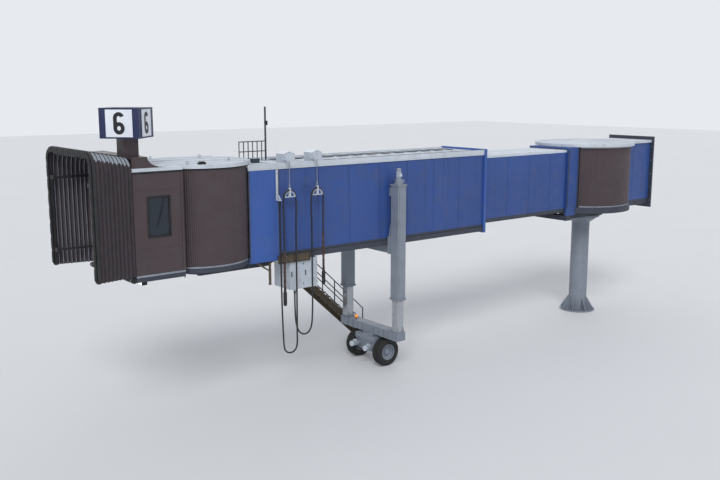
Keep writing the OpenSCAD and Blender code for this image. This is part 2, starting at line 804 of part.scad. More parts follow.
// Lift carriage
module drive_beam() {
    z1 = outer_bottom - chord_drop;
    z0 = z1 - drive_beam_t;
    y = leg_y - upper_leg_w / 2;
    bracket_w = 520;
    guide_w = 300;
    color("slategray") {
        block([drive_x - drive_beam_t / 2, -y, z0], [drive_x + drive_beam_t / 2, y, z1]);
        both_sides() block([drive_x - bracket_w / 2, outer_w / 2 + chord_t, z0],
            [drive_x + bracket_w / 2, y, z1 + drive_beam_t]);
        both_sides() block([drive_x - guide_w / 2, outer_w / 2, upper_leg_top - 120 - guide_w],
            [drive_x + guide_w / 2, y, upper_leg_top - 120]);
    }
}

module upper_legs() {
    h = upper_leg_top - upper_leg_foot;
    flange_w = upper_leg_w + 2 * leg_foot_flange;
    hole = upper_leg_w - 2 * upper_leg_wall;
    color("slategray") both_sides() translate([drive_x, leg_y, upper_leg_foot]) difference() {
        union() {
            translate([-upper_leg_w / 2, -upper_leg_w / 2, 0]) cube([upper_leg_w, upper_leg_w, h]);
            for (z = [0, h - 60]) translate([-flange_w / 2, -flange_w / 2, z])
                cube([flange_w, flange_w, 60]);
            translate([0, 0, h - 1]) lift_motor();
        }
        translate([-hole / 2, -hole / 2, -1]) cube([hole, hole, h - 39]);
    }
}

// The gearbox and motor that turn a leg's lifting screw, with a side housing for the worm
module lift_motor() {
    gear_r = 0.4 * upper_leg_w;
    gear_h = 180;
    motor_r = 0.21 * upper_leg_w;
    motor_h = 330;
    cover = 60;
    worm_w = 190;
    rotate_extrude($fn = 48) polygon([[0, 0], [gear_r, 0], [gear_r, 30], [gear_r - 18, 48],
        [gear_r - 18, gear_h - 30], [gear_r - 48, gear_h], [motor_r, gear_h],
        [motor_r, gear_h + motor_h - cover], [motor_r + 9, gear_h + motor_h - cover],
        [motor_r + 9, gear_h + motor_h], [0, gear_h + motor_h]]);
    translate([-gear_r - 20, -worm_w / 2, 50]) cube([gear_r + 20, worm_w, gear_h - 80]);
}

module lower_legs() {
    h = lower_leg_top - carriage_z1;
    color("silver") both_sides() translate([drive_x, leg_y, carriage_z1]) {
        translate([-lower_leg_w / 2, -lower_leg_w / 2, 0]) cube([lower_leg_w, lower_leg_w, h]);
        for (a = [0:90:270]) rotate(a) translate([-60, lower_leg_w / 2 - 1, h - 120])
            cube([120, run_gap + 1 - seat_gap, 120]);
    }
}

module carriage_beam() {
    w = upper_leg_w + 20;
    color("slategray") {
        block([drive_x - w / 2, -leg_y - w / 2, carriage_z0], [drive_x + w / 2, leg_y + w / 2, carriage_z1]);
        translate([drive_x, 0, bogie_top]) cylinder(r = slew_r, h = slew_t + 1, $fn = 64);
    }
}

module bogie() {
    inner = tyre_track / 2 - tyre_w / 2 - 40;
    low = axle_z - 120;
    color("slategray") {
        translate([drive_x, 0, 0]) side_profile(2 * inner) polygon([[-slew_r, bogie_top],
            [slew_r, bogie_top], [slew_r, bogie_top - 150], [0.6 * slew_r, low],
            [-0.6 * slew_r, low], [-slew_r, bogie_top - 150]]);
        bar_y([drive_x, -tyre_track / 2, axle_z], tyre_track, axle_r, 32);
        both_sides() {
            translate([drive_x, tyre_track / 2, axle_z]) rotate([-90, 0, 0]) wheel_rim();
            bar_x([drive_x + slew_r / 2, motor_y, motor_z], slew_r / 2 + drive_motor_l, drive_motor_r, 32);
        }
    }
}

// A dished wheel with its hub and ten nuts, about the wheel's axis
module wheel_rim() {
    rim_r = hub_r - 20;
    half = tyre_w / 2 - 20;
    dish = 45;
    disc_t = 22;
    boss_r = 110;
    nut_r = 15;
    rotate_extrude($fn = 64) {
        translate([rim_r - 16, -half]) square([16, 2 * half]);
        polygon([[0, -60], [boss_r, -60], [boss_r, dish - disc_t], [rim_r - 60, dish - disc_t],
            [rim_r - 15, dish + 14], [rim_r - 15, dish + 14 + disc_t], [rim_r - 66, dish],
            [boss_r, dish], [boss_r - 14, dish + 62], [0, dish + 68]]);
    }
    for (a = [18:36:342]) rotate(a) translate([boss_r + 35, 0, dish - 1])
        cylinder(r = nut_r, h = disc_t + 1, $fn = 6);
}

module tyres() {
    half = tyre_w / 2;
    color([0.1, 0.1, 0.1]) both_sides() translate([drive_x, tyre_track / 2, axle_z])
        rotate([90, 0, 0]) rotate_extrude($fn = 64) difference() {
            polygon([[hub_r - 20, 20 - half], [hub_r + 40, 6 - half], [tyre_r - 130, -half],
                [tyre_r - 70, 4 - half], [tyre_r - 14, 44 - half], [tyre_r, 80 - half],
                [tyre_r, half - 80], [tyre_r - 14, half - 44], [tyre_r - 70, half - 4],
                [tyre_r - 130, half], [hub_r + 40, half - 6], [hub_r - 20, half - 20]]);
            for (k = [-1:1]) translate([tyre_r - 12, (k - 0.12) * half / 3]) square([20, 0.24 * half / 3]);
        }
}

// Cab
module cab_plan(r) {
    circle(r = r, $fn = 96);
    translate([cab_back, -cab_half_w]) square([cab_front - cab_back, 2 * cab_half_w]);
}

module in_cab() {
    translate([cab_x, 0, 0]) children();
}

module cab_floor() {
    color("dimgray") in_cab() difference() {
        translate([0, 0, cab_bottom]) linear_extrude(cab_floor_z - cab_bottom) cab_plan(cab_r);
        translate([0, 0, cab_bottom - 1]) cylinder(r = cab_pin_r + seat_gap, h = cab_pin_h + 2, $fn = 48);
    }
}

module cab_roof() {
    color("silver") in_cab() translate([0, 0, cab_ceiling])
        linear_extrude(cab_roof_t) cab_plan(cab_roof_r);
}

// Window opening in a cab wall, t larger all round
module cab_window(t) {
    x = (cab_back + cab_front) / 2;
    z = cab_floor_z + window_sill;
    block([x - window_w / 2 - t, cab_half_w - cab_wall_t - 1, z - t],
        [x + window_w / 2 + t, cab_half_w + 1, z + window_h + t]);
}

module cab_walls() {
    sleeve_x = cab_front - rod_sleeve_l;
    color(bronze) in_cab() both_sides() difference() {
        union() {
            block([cab_back, cab_half_w - cab_wall_t, cab_floor_z],
                [cab_front, cab_half_w, cab_ceiling]);
            block([cab_back, cab_wing_y, cab_floor_z], [cab_back + cab_wall_t, cab_half_w, cab_ceiling]);
            for (z = rod_z) {
                bar_x([sleeve_x, rod_y, z], rod_sleeve_l, sleeve_r, 32);
                block([sleeve_x, rod_y, z - 30], [cab_front, cab_half_w - cab_wall_t + 1, z + 30]);
            }
        }
        cab_window(0);
        for (z = rod_z) bar_x([sleeve_x - 1, rod_y, z], rod_sleeve_l + 2, rod_r + seat_gap, 32);
    }
}

module cab_glass() {
    color("lightblue", 0.5) in_cab() both_sides() intersection() {
        cab_window(0);
        block([0, cab_half_w - cab_wall_t / 2 - glass_t / 2, cab_floor_z],
            [cab_front, cab_half_w - cab_wall_t / 2 + glass_t / 2, cab_ceiling]);
    }
}

module cab_hood() {
    t = 50;
    x1 = cab_front;
    x0 = x1 - hood_flat_l - hood_slope_l;
    w = 2 * cab_half_w;
    color(bronze) in_cab() difference() {
        side_profile(w) polygon(concat([[x1, cab_top], [x1, cab_top + hood_h]],
            [for (a = [90:-9:0]) [x0 + hood_slope_l * sin(a), cab_top + hood_h * (1 - cos(a))]]));
        side_profile(w - 2 * t) polygon([[x1 - hood_flat_l - t, cab_top + t], [x1 + 1, cab_top + t],
            [x1 + 1, cab_top + hood_h - t], [x1 - hood_flat_l + t, cab_top + hood_h - t],
            [x1 - hood_flat_l + t, cab_top + hood_h / 2]]);
    }
}

module cab_bumper() {
    color([0.1, 0.1, 0.1]) in_cab()
        bar_y([cab_front + bumper_d / 2, -cab_half_w, cab_floor_z - bumper_d / 2 - 10],
            2 * cab_half_w, bumper_d / 2, 32);
}

module cab_curtains() {
    a0 = acos((cab_back - seat_gap) / cab_curtain_r);
    a1 = 180 - asin((outer_w / 2 - wall_t / 2) / cab_curtain_r);
    color(bronze) in_cab() both_sides() translate([0, 0, cab_floor_z + seat_gap / 2])
        linear_extrude(cab_ceiling - cab_floor_z - seat_gap) polygon(curtain_points(cab_curtain_r, a0, a1));
}

module sign() {
    color("navy") in_cab() translate([sign_x, sign_y, cab_top + hood_h]) {
        translate([-sign_post_w / 2, -sign_post_w / 2, 0])
            cube([sign_post_w, sign_post_w, sign_post_h + 1]);
        rotate(sign_turn) translate([-sign_w / 2, -sign_w / 2, sign_post_h])
            cube([sign_w, sign_w, sign_h]);
    }
}

// Canopy: a hoop of half width w and height z1, as points from foot to foot
function hoop(w, z0, z1, r) = concat([[-w, z0]],
    [for (a = [180:-18:90]) [-w + r, z1 - r] + r * dir(a)],
    [for (a = [90:-18:0]) [w - r, z1 - r] + r * dir(a)], [[w, z0]]);
function flip(p) = [for (i = [len(p) - 1:-1:0]) p[i]];
function band(w, z0, z1, r, t) = concat(hoop(w, z0, z1, r), flip(hoop(w - t, z0, z1 - t, r - t)));

module canopy_bellows() {
    rings = 2 * pleats;
    outlines = [for (i = [0:rings]) let (
        f = i / rings, fold = (i % 2) * pleat_depth - pleat_depth / 2,
        w = canopy_w0 + (canopy_w1 - canopy_w0) * f - pleat_depth + fold,
        z = canopy_top0 + (canopy_top1 - canopy_top0) * f - pleat_depth + fold)
        band(w, canopy_foot, z, canopy_round, cloth_t)];
    n = len(outlines[0]);
    x0 = canopy_x0 + seat_gap;
    length = canopy_l - 2 * seat_gap;
    points = [for (i = [0:rings], p = outlines[i]) [x0 + i * length / rings, p.x, p.y]];
    walls = [for (i = [0:rings - 1], k = [0:n - 1], half = [0, 1]) let (m = (k + 1) % n, j = i + 1)
        half == 0 ? [i * n + k, i * n + m, j * n + k] : [i * n + m, j * n + m, j * n + k]];
    strips = [for (k = [0:n / 2 - 2]) [k, k + 1, n - 2 - k, n - 1 - k]];
    ends = concat([for (s = strips) flip(s)], [for (s = strips) [for (k = s) rings * n + k]]);
    color("lightgray") in_cab() polyhedron(points = points, faces = concat(walls, ends));
}

module canopy_front() {
    x = canopy_x0 + canopy_l;
    deep = 170;
    w = canopy_w1;
    color("dimgray") in_cab() {
        translate([x, 0, 0]) rotate([90, 0, 90]) linear_extrude(frame_t)
            polygon(band(w, canopy_foot, canopy_top1, canopy_round, deep));
        both_sides() for (z = rod_z) {
            bar_x([cab_front - rod_sleeve_l / 2, rod_y, z], canopy_l + rod_sleeve_l / 2 + 1, rod_r, 32);
            block([x, rod_y - 40, z - 60], [x + frame_t, w - deep + 1, z + 60]);
        }
    }
}

// Stairs, hinged to the landing and resting on two small wheels
module stringers() {
    for (y = [landing_y, stair_y - stringer_t]) translate([0, y + stringer_t, 0])
        rotate([90, 0, 0]) linear_extrude(stringer_t)
            polygon([[stair_x - stair_gap, landing_z - 5], [stair_x - stair_gap, landing_z - 245],
                [foot_x + 120, stair_wheel_r - 40], [foot_x - 60, stair_wheel_r - 40],
                [foot_x - 60, stair_wheel_r + 80]]);
}

module stairs() {
    inner_y = [landing_y + stringer_t, stair_y - stringer_t];
    color("darkolivegreen") {
        stringers();
        bar_y([stair_pin_x, inner_y[0] - 1, stair_pin_z], lug_t + 6, stair_pin_r, 32);
        bar_y([stair_pin_x, inner_y[1] - lug_t - 5, stair_pin_z], lug_t + 6, stair_pin_r, 32);
        for (y = [inner_y[0], inner_y[1] - 60])
            bar_y([foot_x, y, stair_wheel_r], 60, stair_wheel_r, 32);
        for (i = [1:steps - 1]) {
            z = landing_z - i * riser;
            x = stair_x - i * riser / tan(stair_slope);
            block([x - 230, inner_y[0] - 1, z - 35], [x, inner_y[1] + 1, z]);
        }
    }
}

module stair_rails() {
    color("gray") difference() {
        for (y = [landing_y + stringer_t / 2, stair_y - stringer_t / 2]) {
            for (f = [0.08, 0.36, 0.64, 0.92])
                bar_z([stair_x - stair_run * f, y, landing_z - stair_drop * f - 60], rail_h, post_r);
            for (h = [rail_h / 2 - 60, rail_h - 60])
                translate([stair_x - stair_run * 0.08, y, landing_z - stair_drop * 0.08 + h])
                    rotate([0, -90 - stair_slope, 0])
                        cylinder(r = tube_r, h = stair_len * 0.84, $fn = 12);
        }
        stringers();
    }
}

column();
rotunda_floor();
rotunda_roof();
corridor_walls();
terminal_flange();
swing_ring();
swing_portal();
rotunda_curtains();
inner_floor();
inner_walls();
inner_roof();
floor_ramp();
outer_floor();
outer_wall_left();
outer_wall_right();
outer_roof();
end_panels();
rear_frame();
cab_carrier();
service_door();
landing();
landing_rails();
cable_hoists();
roof_fittings();
power_cabinet();
utility_bracket();
ground_power_cable_front();
ground_power_cable_rear();
power_plugs();
drive_beam();
upper_legs();
lower_legs();
carriage_beam();
bogie();
tyres();
cab_floor();
cab_roof();
cab_walls();
cab_glass();
cab_hood();
cab_bumper();
cab_curtains();
sign();
canopy_bellows();
canopy_front();
stairs();
stair_rails();
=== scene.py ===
"""Looks of the jet bridge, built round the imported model. Metres; +X to the aircraft, +Z up."""
import json
import math

import bmesh
import bpy
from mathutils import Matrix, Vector


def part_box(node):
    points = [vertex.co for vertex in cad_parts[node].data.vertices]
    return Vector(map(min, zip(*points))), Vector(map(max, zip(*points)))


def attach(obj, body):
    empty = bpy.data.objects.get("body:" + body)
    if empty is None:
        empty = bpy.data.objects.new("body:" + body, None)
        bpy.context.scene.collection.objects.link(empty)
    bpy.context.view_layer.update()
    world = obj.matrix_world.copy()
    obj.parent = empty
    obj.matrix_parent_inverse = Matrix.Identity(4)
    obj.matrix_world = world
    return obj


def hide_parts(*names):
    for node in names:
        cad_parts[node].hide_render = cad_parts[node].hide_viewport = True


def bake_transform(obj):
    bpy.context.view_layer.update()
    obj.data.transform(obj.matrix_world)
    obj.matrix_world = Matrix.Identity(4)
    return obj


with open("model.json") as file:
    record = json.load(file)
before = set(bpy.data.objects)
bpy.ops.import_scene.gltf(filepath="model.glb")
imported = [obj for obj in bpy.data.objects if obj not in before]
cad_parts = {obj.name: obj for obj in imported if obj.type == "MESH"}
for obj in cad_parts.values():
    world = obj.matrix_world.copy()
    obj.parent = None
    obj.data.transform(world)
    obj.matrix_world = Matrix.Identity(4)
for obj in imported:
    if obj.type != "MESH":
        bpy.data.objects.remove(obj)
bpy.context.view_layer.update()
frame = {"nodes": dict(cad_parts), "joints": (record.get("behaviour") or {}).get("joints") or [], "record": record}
scene = bpy.context.scene
SIDES = (("left", 1), ("right", -1))
UP, DOWN = (0, 0, 1), (0, 0, -1)

# Places read from the frame
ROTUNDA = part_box("rotunda_floor")
ROTUNDA_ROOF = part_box("rotunda_roof")
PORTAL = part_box("swing_portal")
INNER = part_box("inner_floor")
INNER_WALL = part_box("inner_walls")
INNER_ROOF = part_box("inner_roof")
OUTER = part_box("outer_floor")
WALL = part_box("outer_wall_left")
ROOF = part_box("outer_roof")
END_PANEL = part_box("end_panels")
CAB_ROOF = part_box("cab_roof")
CAB_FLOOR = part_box("cab_floor")
CAB_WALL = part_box("cab_walls")
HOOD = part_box("cab_hood")
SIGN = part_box("sign")
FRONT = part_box("canopy_front")
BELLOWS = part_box("canopy_bellows")
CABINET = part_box("power_cabinet")
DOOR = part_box("service_door")
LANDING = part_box("landing")
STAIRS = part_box("stairs")
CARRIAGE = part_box("carriage_beam")
UPPER_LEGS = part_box("upper_legs")


def joint_place(name):
    """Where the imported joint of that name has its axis."""
    return next(j for j in frame["joints"] if j["name"] == name)["pos_m"]


CAB_X = joint_place("cab_rotate")[0]
WALL_Y = WALL[1].y


# Camera: where the photo was taken from, turned to take in the whole bridge
CAMERA_POS = Vector((WALL[1].x + 13.2, WALL_Y + 22.0, 9.65))
CAMERA_AIM = Vector((12.35, 0.0, 4.45))
CAMERA_FOV = math.radians(45.5)

camera_data = bpy.data.cameras.new("camera")
camera_data.angle = CAMERA_FOV
camera_data.clip_end = 400.0
camera = bpy.data.objects.new("camera", camera_data)
camera.location = CAMERA_POS
camera.rotation_mode = "QUATERNION"
camera.rotation_quaternion = (CAMERA_AIM - CAMERA_POS).to_track_quat("-Z", "Y")
scene.collection.objects.link(camera)
scene.camera = camera


# Materials
class Nodes:
    """A short way to write a material's node tree."""

    def __init__(self, name):
        self.material = bpy.data.materials.new(name)
        self.material.use_nodes = True
        self.tree = self.material.node_tree
        self.shader = self.tree.nodes["Principled BSDF"]
        self.object_space = self.node("ShaderNodeTexCoord").outputs["Object"]

    def feed(self, target, **inputs):
        """Sets a node's inputs: a value, a colour or another node's output; _ stands for a space."""
        for key, value in inputs.items():
            socket = target.inputs[key.replace("_", " ")]
            if isinstance(value, bpy.types.NodeSocket):
                self.tree.links.new(value, socket)
            elif socket.type == "RGBA":
                socket.default_value = (*value, 1.0)
            else:
                socket.default_value = value

    def surface(self, **inputs):
        self.feed(self.shader, **inputs)

    def node(self, kind, settings=(), **inputs):
        """A new node; settings are pairs of its own properties."""
        made = self.tree.nodes.new(kind)
        for key, value in settings:
            setattr(made, key, value)
        self.feed(made, **inputs)
        return made

    def place(self, scale=(1, 1, 1)):
        """Object coordinates stretched by scale along each axis."""
        return self.node("ShaderNodeMapping", Vector=self.object_space, Scale=scale).outputs["Vector"]

    def noise(self, scale, stretch=(1, 1, 1), detail=6.0):
        """Noise from 0 to 1."""
        return self.node("ShaderNodeTexNoise", Scale=scale, Detail=detail, Roughness=0.55,
                         Vector=self.place(stretch)).outputs["Fac"]

    def ramp(self, value, low, high, from_value=0.0, to_value=1.0):
        """value mapped from low..high to from_value..to_value, held at the ends."""
        return self.node("ShaderNodeMapRange", Value=value, From_Min=low, From_Max=high,
                         To_Min=from_value, To_Max=to_value).outputs["Result"]

    def patchy(self, scale, low, high, detail=6.0):
        """A value that varies softly in patches from low to high."""
        return self.ramp(self.noise(scale, detail=detail), 0.3, 0.7, low, high)

    def mix(self, share, first, second):
        """Colour between first and second; either is a colour or an output."""
        made = self.node("ShaderNodeMix", [("data_type", "RGBA")])
        self.tree.links.new(share, made.inputs[0])
        for socket, colour in ((made.inputs[6], first), (made.inputs[7], second)):
            if isinstance(colour, tuple):
                socket.default_value = (*colour, 1.0)
            else:
                self.tree.links.new(colour, socket)
        return made.outputs[2]

    def bump(self, height, strength, distance):
        made = self.node("ShaderNodeBump", Height=height, Strength=strength, Distance=distance)
        self.surface(Normal=made.outputs["Normal"])


def srgb(r, g, b):
    """A linear colour from 0 to 255 display values."""
    def linear(v):
        v /= 255
        return v / 12.92 if v <= 0.04045 else ((v + 0.055) / 1.055) ** 2.4
    return tuple(linear(v) for v in (r, g, b))


def scaled(colour, factor):
    return tuple(min(1.0, c * factor) for c in colour)


def mixed(a, b, share):
    return tuple(x + (y - x) * share for x, y in zip(a, b))


def painted(name, colour, rough=0.42, dirt=0.35, streaks=True, metallic=0.0):
    """Weathered paint on steel: faded patches, dust, rain streaks and a fine orange peel."""
    m = Nodes(name)
    base = m.mix(m.patchy(0.35, 0.0, 1.0), scaled(colour, 0.9), scaled(colour, 1.12))
    dust = m.ramp(m.noise(2.2, detail=9.0), 0.48, 0.75, 0.0, dirt)
    base = m.mix(dust, base, mixed(colour, srgb(92, 90, 86), 0.55))
    if streaks:
        run = m.ramp(m.noise(1.0, (7, 7, 0.22), detail=5.0), 0.56, 0.74, 0.0, dirt)
        base = m.mix(run, base, scaled(mixed(colour, srgb(40, 38, 36), 0.4), 0.75))
    m.surface(Base_Color=base, Roughness=m.patchy(4.0, rough - 0.08, rough + 0.16, 8.0), Metallic=metallic)
    m.bump(m.noise(160.0, detail=2.0), 0.06, 0.002)
    return m.material


def bare_metal(name, colour):
    """Galvanised steel with a patchy sheen."""
    m = Nodes(name)
    cells = m.node("ShaderNodeTexVoronoi", Scale=14.0, Vector=m.place())
    spangle = m.ramp(cells.outputs["Distance"], 0.0, 0.8)
    base = m.mix(spangle, scaled(colour, 0.82), scaled(colour, 1.12))
    grime = m.ramp(m.noise(1.7, (1, 1, 0.5), detail=8.0), 0.5, 0.8, 0.0, 0.5)
    m.surface(Base_Color=m.mix(grime, base, scaled(colour, 0.45)), Roughness=m.patchy(9.0, 0.3, 0.55),
              Metallic=0.75)
    m.bump(m.noise(60.0), 0.15, 0.002)
    return m.material


def rubbery(name, colour, rough=0.72, grit=90.0):
    """Rubber or cable sheath with a little dust."""
    m = Nodes(name)
    dust = m.ramp(m.noise(6.0, detail=9.0), 0.5, 0.8, 0.0, 0.35)
    m.surface(Base_Color=m.mix(dust, colour, mixed(colour, srgb(110, 106, 100), 0.5)),
              Roughness=m.patchy(12.0, rough - 0.12, rough + 0.12))
    m.bump(m.noise(grit), 0.25, 0.003)
    return m.material


def cloth(name, colour, rough=0.8):
    """Coated canopy cloth: a fine weave, soft creases and darker patches drawn out upright."""
    m = Nodes(name)
    # Darker patches from noise, drawn out upright; they are not placed at the pleats' folds.
    upright_dark_patches = m.ramp(m.noise(1.3, (1, 1, 0.4), detail=7.0), 0.42, 0.72, 0.0, 0.6)
    m.surface(Base_Color=m.mix(upright_dark_patches, colour, scaled(colour, 0.6)), Sheen_Weight=0.15,
              Roughness=m.patchy(5.0, rough - 0.15, rough + 0.1))
    weave = m.node("ShaderNodeTexWave", [("wave_type", "BANDS"), ("bands_direction", "Z")],
                   Scale=160.0, Distortion=1.5, Vector=m.place())
    height = m.node("ShaderNodeMath", [("operation", "MULTIPLY_ADD")])
    height.inputs[1].default_value = 0.15
    m.tree.links.new(weave.outputs["Fac"], height.inputs[0])
    m.tree.links.new(m.noise(7.0, detail=8.0), height.inputs[2])
    m.bump(height.outputs["Value"], 0.35, 0.01)
    return m.material


def glassy(name, tint):
    """Tinted window glass, a little dusty."""
    m = Nodes(name)
    m.surface(Base_Color=tint, Transmission_Weight=0.6, IOR=1.45,
              Roughness=m.ramp(m.noise(3.0, detail=4.0), 0.5, 0.8, 0.06, 0.14))
    return m.material


def lamp_glow(name, colour, strength):
    """A lit diffuser."""
    m = Nodes(name)
    m.surface(Base_Color=m.mix(m.patchy(5.0, 0.0, 1.0), scaled(colour, 0.92), colour),
              Emission_Color=colour, Emission_Strength=strength)
    return m.material


MATERIALS = {name: kind(name, srgb(*colour), *settings) for name, kind, colour, *settings in (
    ("blue_paint", painted, (44, 74, 138)),
    ("panel_blue", painted, (52, 88, 162), 0.36, 0.25),
    ("roof_grey", painted, (196, 203, 212), 0.55, 0.45, False),
    ("frame_dark", painted, (52, 57, 70), 0.55, 0.4),
    ("steel_grey", painted, (128, 136, 148), 0.48, 0.4),
    ("leg_chrome", painted, (176, 180, 186), 0.25, 0.3, True, 0.6),
    ("galvanised", bare_metal, (150, 156, 166)),
    ("equipment_grey", painted, (190, 198, 208), 0.45),
    ("stair_olive", painted, (84, 74, 58), 0.6, 0.45),
    ("curtain_bronze", painted, (74, 62, 66), 0.38, 0.3, True, 0.25),
    ("canopy_cloth", cloth, (172, 180, 190)),
    ("canopy_frame", rubbery, (34, 34, 38), 0.6),
    ("rubber_black", rubbery, (26, 26, 28)),
    ("tyre", rubbery, (30, 30, 31), 0.8, 60.0),
    ("cable_black", rubbery, (24, 25, 32), 0.5),
    ("sleeve_brown", rubbery, (70, 48, 40), 0.75, 140.0),
    ("sign_box", painted, (24, 36, 78), 0.45, 0.2),
    ("glass", glassy, (58, 70, 84)),
    ("canopy_side", cloth, (70, 62, 68)),
    ("sign_white", painted, (226, 230, 238), 0.5, 0.18),
    ("numeral", painted, (14, 16, 26), 0.5, 0.1),
    ("liner", painted, (205, 204, 198), 0.5, 0.15),
    ("carpet", cloth, (58, 60, 66), 0.95),
    ("white_light", lamp_glow, (245, 244, 236), 1.6),
    ("amber", lamp_glow, (236, 140, 30), 0.6),
)}

SLOTS = {part["node"]: part["material_slot"] for part in frame["record"]["subparts"]}
for name, obj in frame["nodes"].items():
    obj.data.materials.clear()
    obj.data.materials.append(MATERIALS[SLOTS[name]])


# Mesh tools
def soften(obj, width):
    """Rounds an object's edges a little, so that they catch the light."""
    mod = obj.modifiers.new("edges", "BEVEL")
    mod.width = width
    mod.segments = 2
    mod.limit_method = "ANGLE"
    mod.angle_limit = math.radians(40)


def spread(first, last, count):
    """count values from first to last at even steps."""
    return [first + k * (last - first) / (count - 1) for k in range(count)]


def circle(r, count, start=0.0, turn=360.0):
    """count points at even steps round a circle, as pairs, from start degrees on."""
    angles = [math.radians(start + turn * k / count) for k in range(count)]
    return [(r * math.cos(a), r * math.sin(a)) for a in angles]


def quads(rows, columns, closed):
    """Faces between rows of columns points each; closed joins each row's last point to its first."""
    return [(i * columns + k, i * columns + (k + 1) % columns,
             (i + 1) * columns + (k + 1) % columns, (i + 1) * columns + k)
            for i in range(rows - 1) for k in range(columns if closed else columns - 1)]


class Shape:
    """Collects simple solids and becomes one object."""

    def __init__(self):
        self.verts = []
        self.faces = []

    def add(self, verts, faces):
        base = len(self.verts)
        self.verts.extend(Vector(v) for v in verts)
        self.faces.extend([base + i for i in f] for f in faces)

    def sweep(self, rows):
        """A solid with closed sections, given as rows of points, and a face over each end."""
        count, last = len(rows[0]), (len(rows) - 1) * len(rows[0])
        faces = quads(len(rows), count, True)
        faces += [tuple(range(count - 1, -1, -1)), tuple(range(last, last + count))]
        self.add([v for row in rows for v in row], faces)

    def block(self, a, b):
        """A block between two opposite corners."""
        xs, ys, zs = (sorted(pair) for pair in zip(a, b))
        self.add([(x, y, z) for x in xs for y in ys for z in zs],
                 [(0, 1, 3, 2), (4, 6, 7, 5), (0, 4, 5, 1), (2, 3, 7, 6), (0, 2, 6, 4), (1, 5, 7, 3)])

    def tube(self, path, radius, sides=10, closed=False):
        """A round bar along a path of points."""
        pts = [Vector(p) for p in path]
        count = len(pts)
        side = None
        rings = []
        for i, p in enumerate(pts):
            before = pts[i - 1] if i or closed else pts[0]
            after = pts[(i + 1) % count] if i < count - 1 or closed else pts[-1]
            along = (after - before).normalized()
            if side is None:
                side = along.orthogonal().normalized()
            side = (side - along * side.dot(along)).normalized()
            up = along.cross(side)
            rings.append([p + x * side + y * up for x, y in circle(radius, sides)])
        if not closed:
            self.sweep(rings)
            return
        verts = [v for ring in rings for v in ring]
        faces = quads(count + 1, sides, True)
        self.add(verts, [tuple(i % len(verts) for i in face) for face in faces])

    def spun(self, profile, centre, axis, sides=32, ring=False, span=(0, 360)):
        """A solid of revolution: profile is [(radius, along)], about axis through centre.

        ring joins the profile's last point to its first, so that the middle stays open, and
        span is the angles in degrees that a part of such a ring covers.
        """
        axis = Vector(axis).normalized()
        u = axis.orthogonal().normalized()
        v = axis.cross(u)
        count = len(profile)
        whole = span == (0, 360)
        steps = sides if whole else sides + 1
        turns = [math.radians(span[0] + (span[1] - span[0]) * k / sides) for k in range(steps)]
        rows = [[Vector(centre) + along * axis + r * (math.cos(a) * u + math.sin(a) * v)
                 for r, along in profile] for a in turns]
        if not whole:
            self.sweep(rows)
            return
        faces = [[i % (sides * count) for i in face] for face in quads(sides + 1, count, ring)]
        if not ring:
            faces.append(tuple(k * count for k in range(sides)))
            faces.append(tuple(k * count + count - 1 for k in range(sides - 1, -1, -1)))
        self.add([v for row in rows for v in row], faces)

    def disc(self, centre, axis, r, low, high, sides=24, core=0.001):
        """A round or many-sided plate from low to high along its axis."""
        self.spun([(core, low), (r, low), (r, high), (core, high)], centre, axis, sides)

    def bolt(self, centre, axis, r=0.016, h=0.014):
        """A hexagon bolt head on a washer."""
        self.disc(centre, axis, r * 1.5, 0, h * 0.25, 12)
        self.disc(centre, axis, r, 0, h, 6)

    def rivets(self, points, axis, r=0.011, h=0.008):
        """A low round head at each point."""
        for p in points:
            self.spun([(0.0005, 0), (r, 0), (r * 0.8, h * 0.7), (0.0005, h)], p, axis, 8)

    def prism(self, outline, offset):
        """A prism: outline is a list of points, moved by offset."""
        self.sweep([[Vector(p) for p in outline], [Vector(p) + Vector(offset) for p in outline]])

    def object(self, name, material, body=None, slot=None, bevel=0.0, smooth=True):
        """Makes the mesh object, and lets it ride on a body."""
        mesh = bpy.data.meshes.new(name)
        mesh.from_pydata([tuple(v) for v in self.verts], [], self.faces)
        work = bmesh.new()
        work.from_mesh(mesh)
        bmesh.ops.recalc_face_normals(work, faces=work.faces)
        work.to_mesh(mesh)
        work.free()
        if isinstance(material, str):
            slot = slot or material
            material = MATERIALS[material]
        mesh.materials.append(material)
        made = bpy.data.objects.new(name, mesh)
        scene.collection.objects.link(made)
        if bevel:
            soften(made, bevel)
        if smooth:
            for polygon in mesh.polygons:
                polygon.use_smooth = True
            mesh.set_sharp_from_angle(angle=math.radians(35))
        if body:
            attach(made, body)
        return made


def blocks(name, material, body, corners, bevel=0.0, slot=None, smooth=True):
    """One object made of blocks, each given by two opposite corners."""
    shape = Shape()
    for low, high in corners:
        shape.block(low, high)
    return shape.object(name, material, body, slot, bevel, smooth)


def bolts(name, body, places, r, h):
    """One object made of galvanised bolt heads, each given by its place and axis."""
    shape = Shape()
    for place, axis in places:
        shape.bolt(place, axis, r, h)
    return shape.object(name, "galvanised", body)


# Power cables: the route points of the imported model, in metres from each hoist's saddle
SADDLE_X = (16.2, 15.165)
CABLE_Y = 1.4
SADDLE_Z = 6.39
SADDLE_R = 0.219
CABLE_D = 0.052
SLEEVE_L = 1.13
SLEEVE_R = 0.038
PLUG_L = 0.56
PLUG_DEPTH = SLEEVE_L + PLUG_L - 0.12

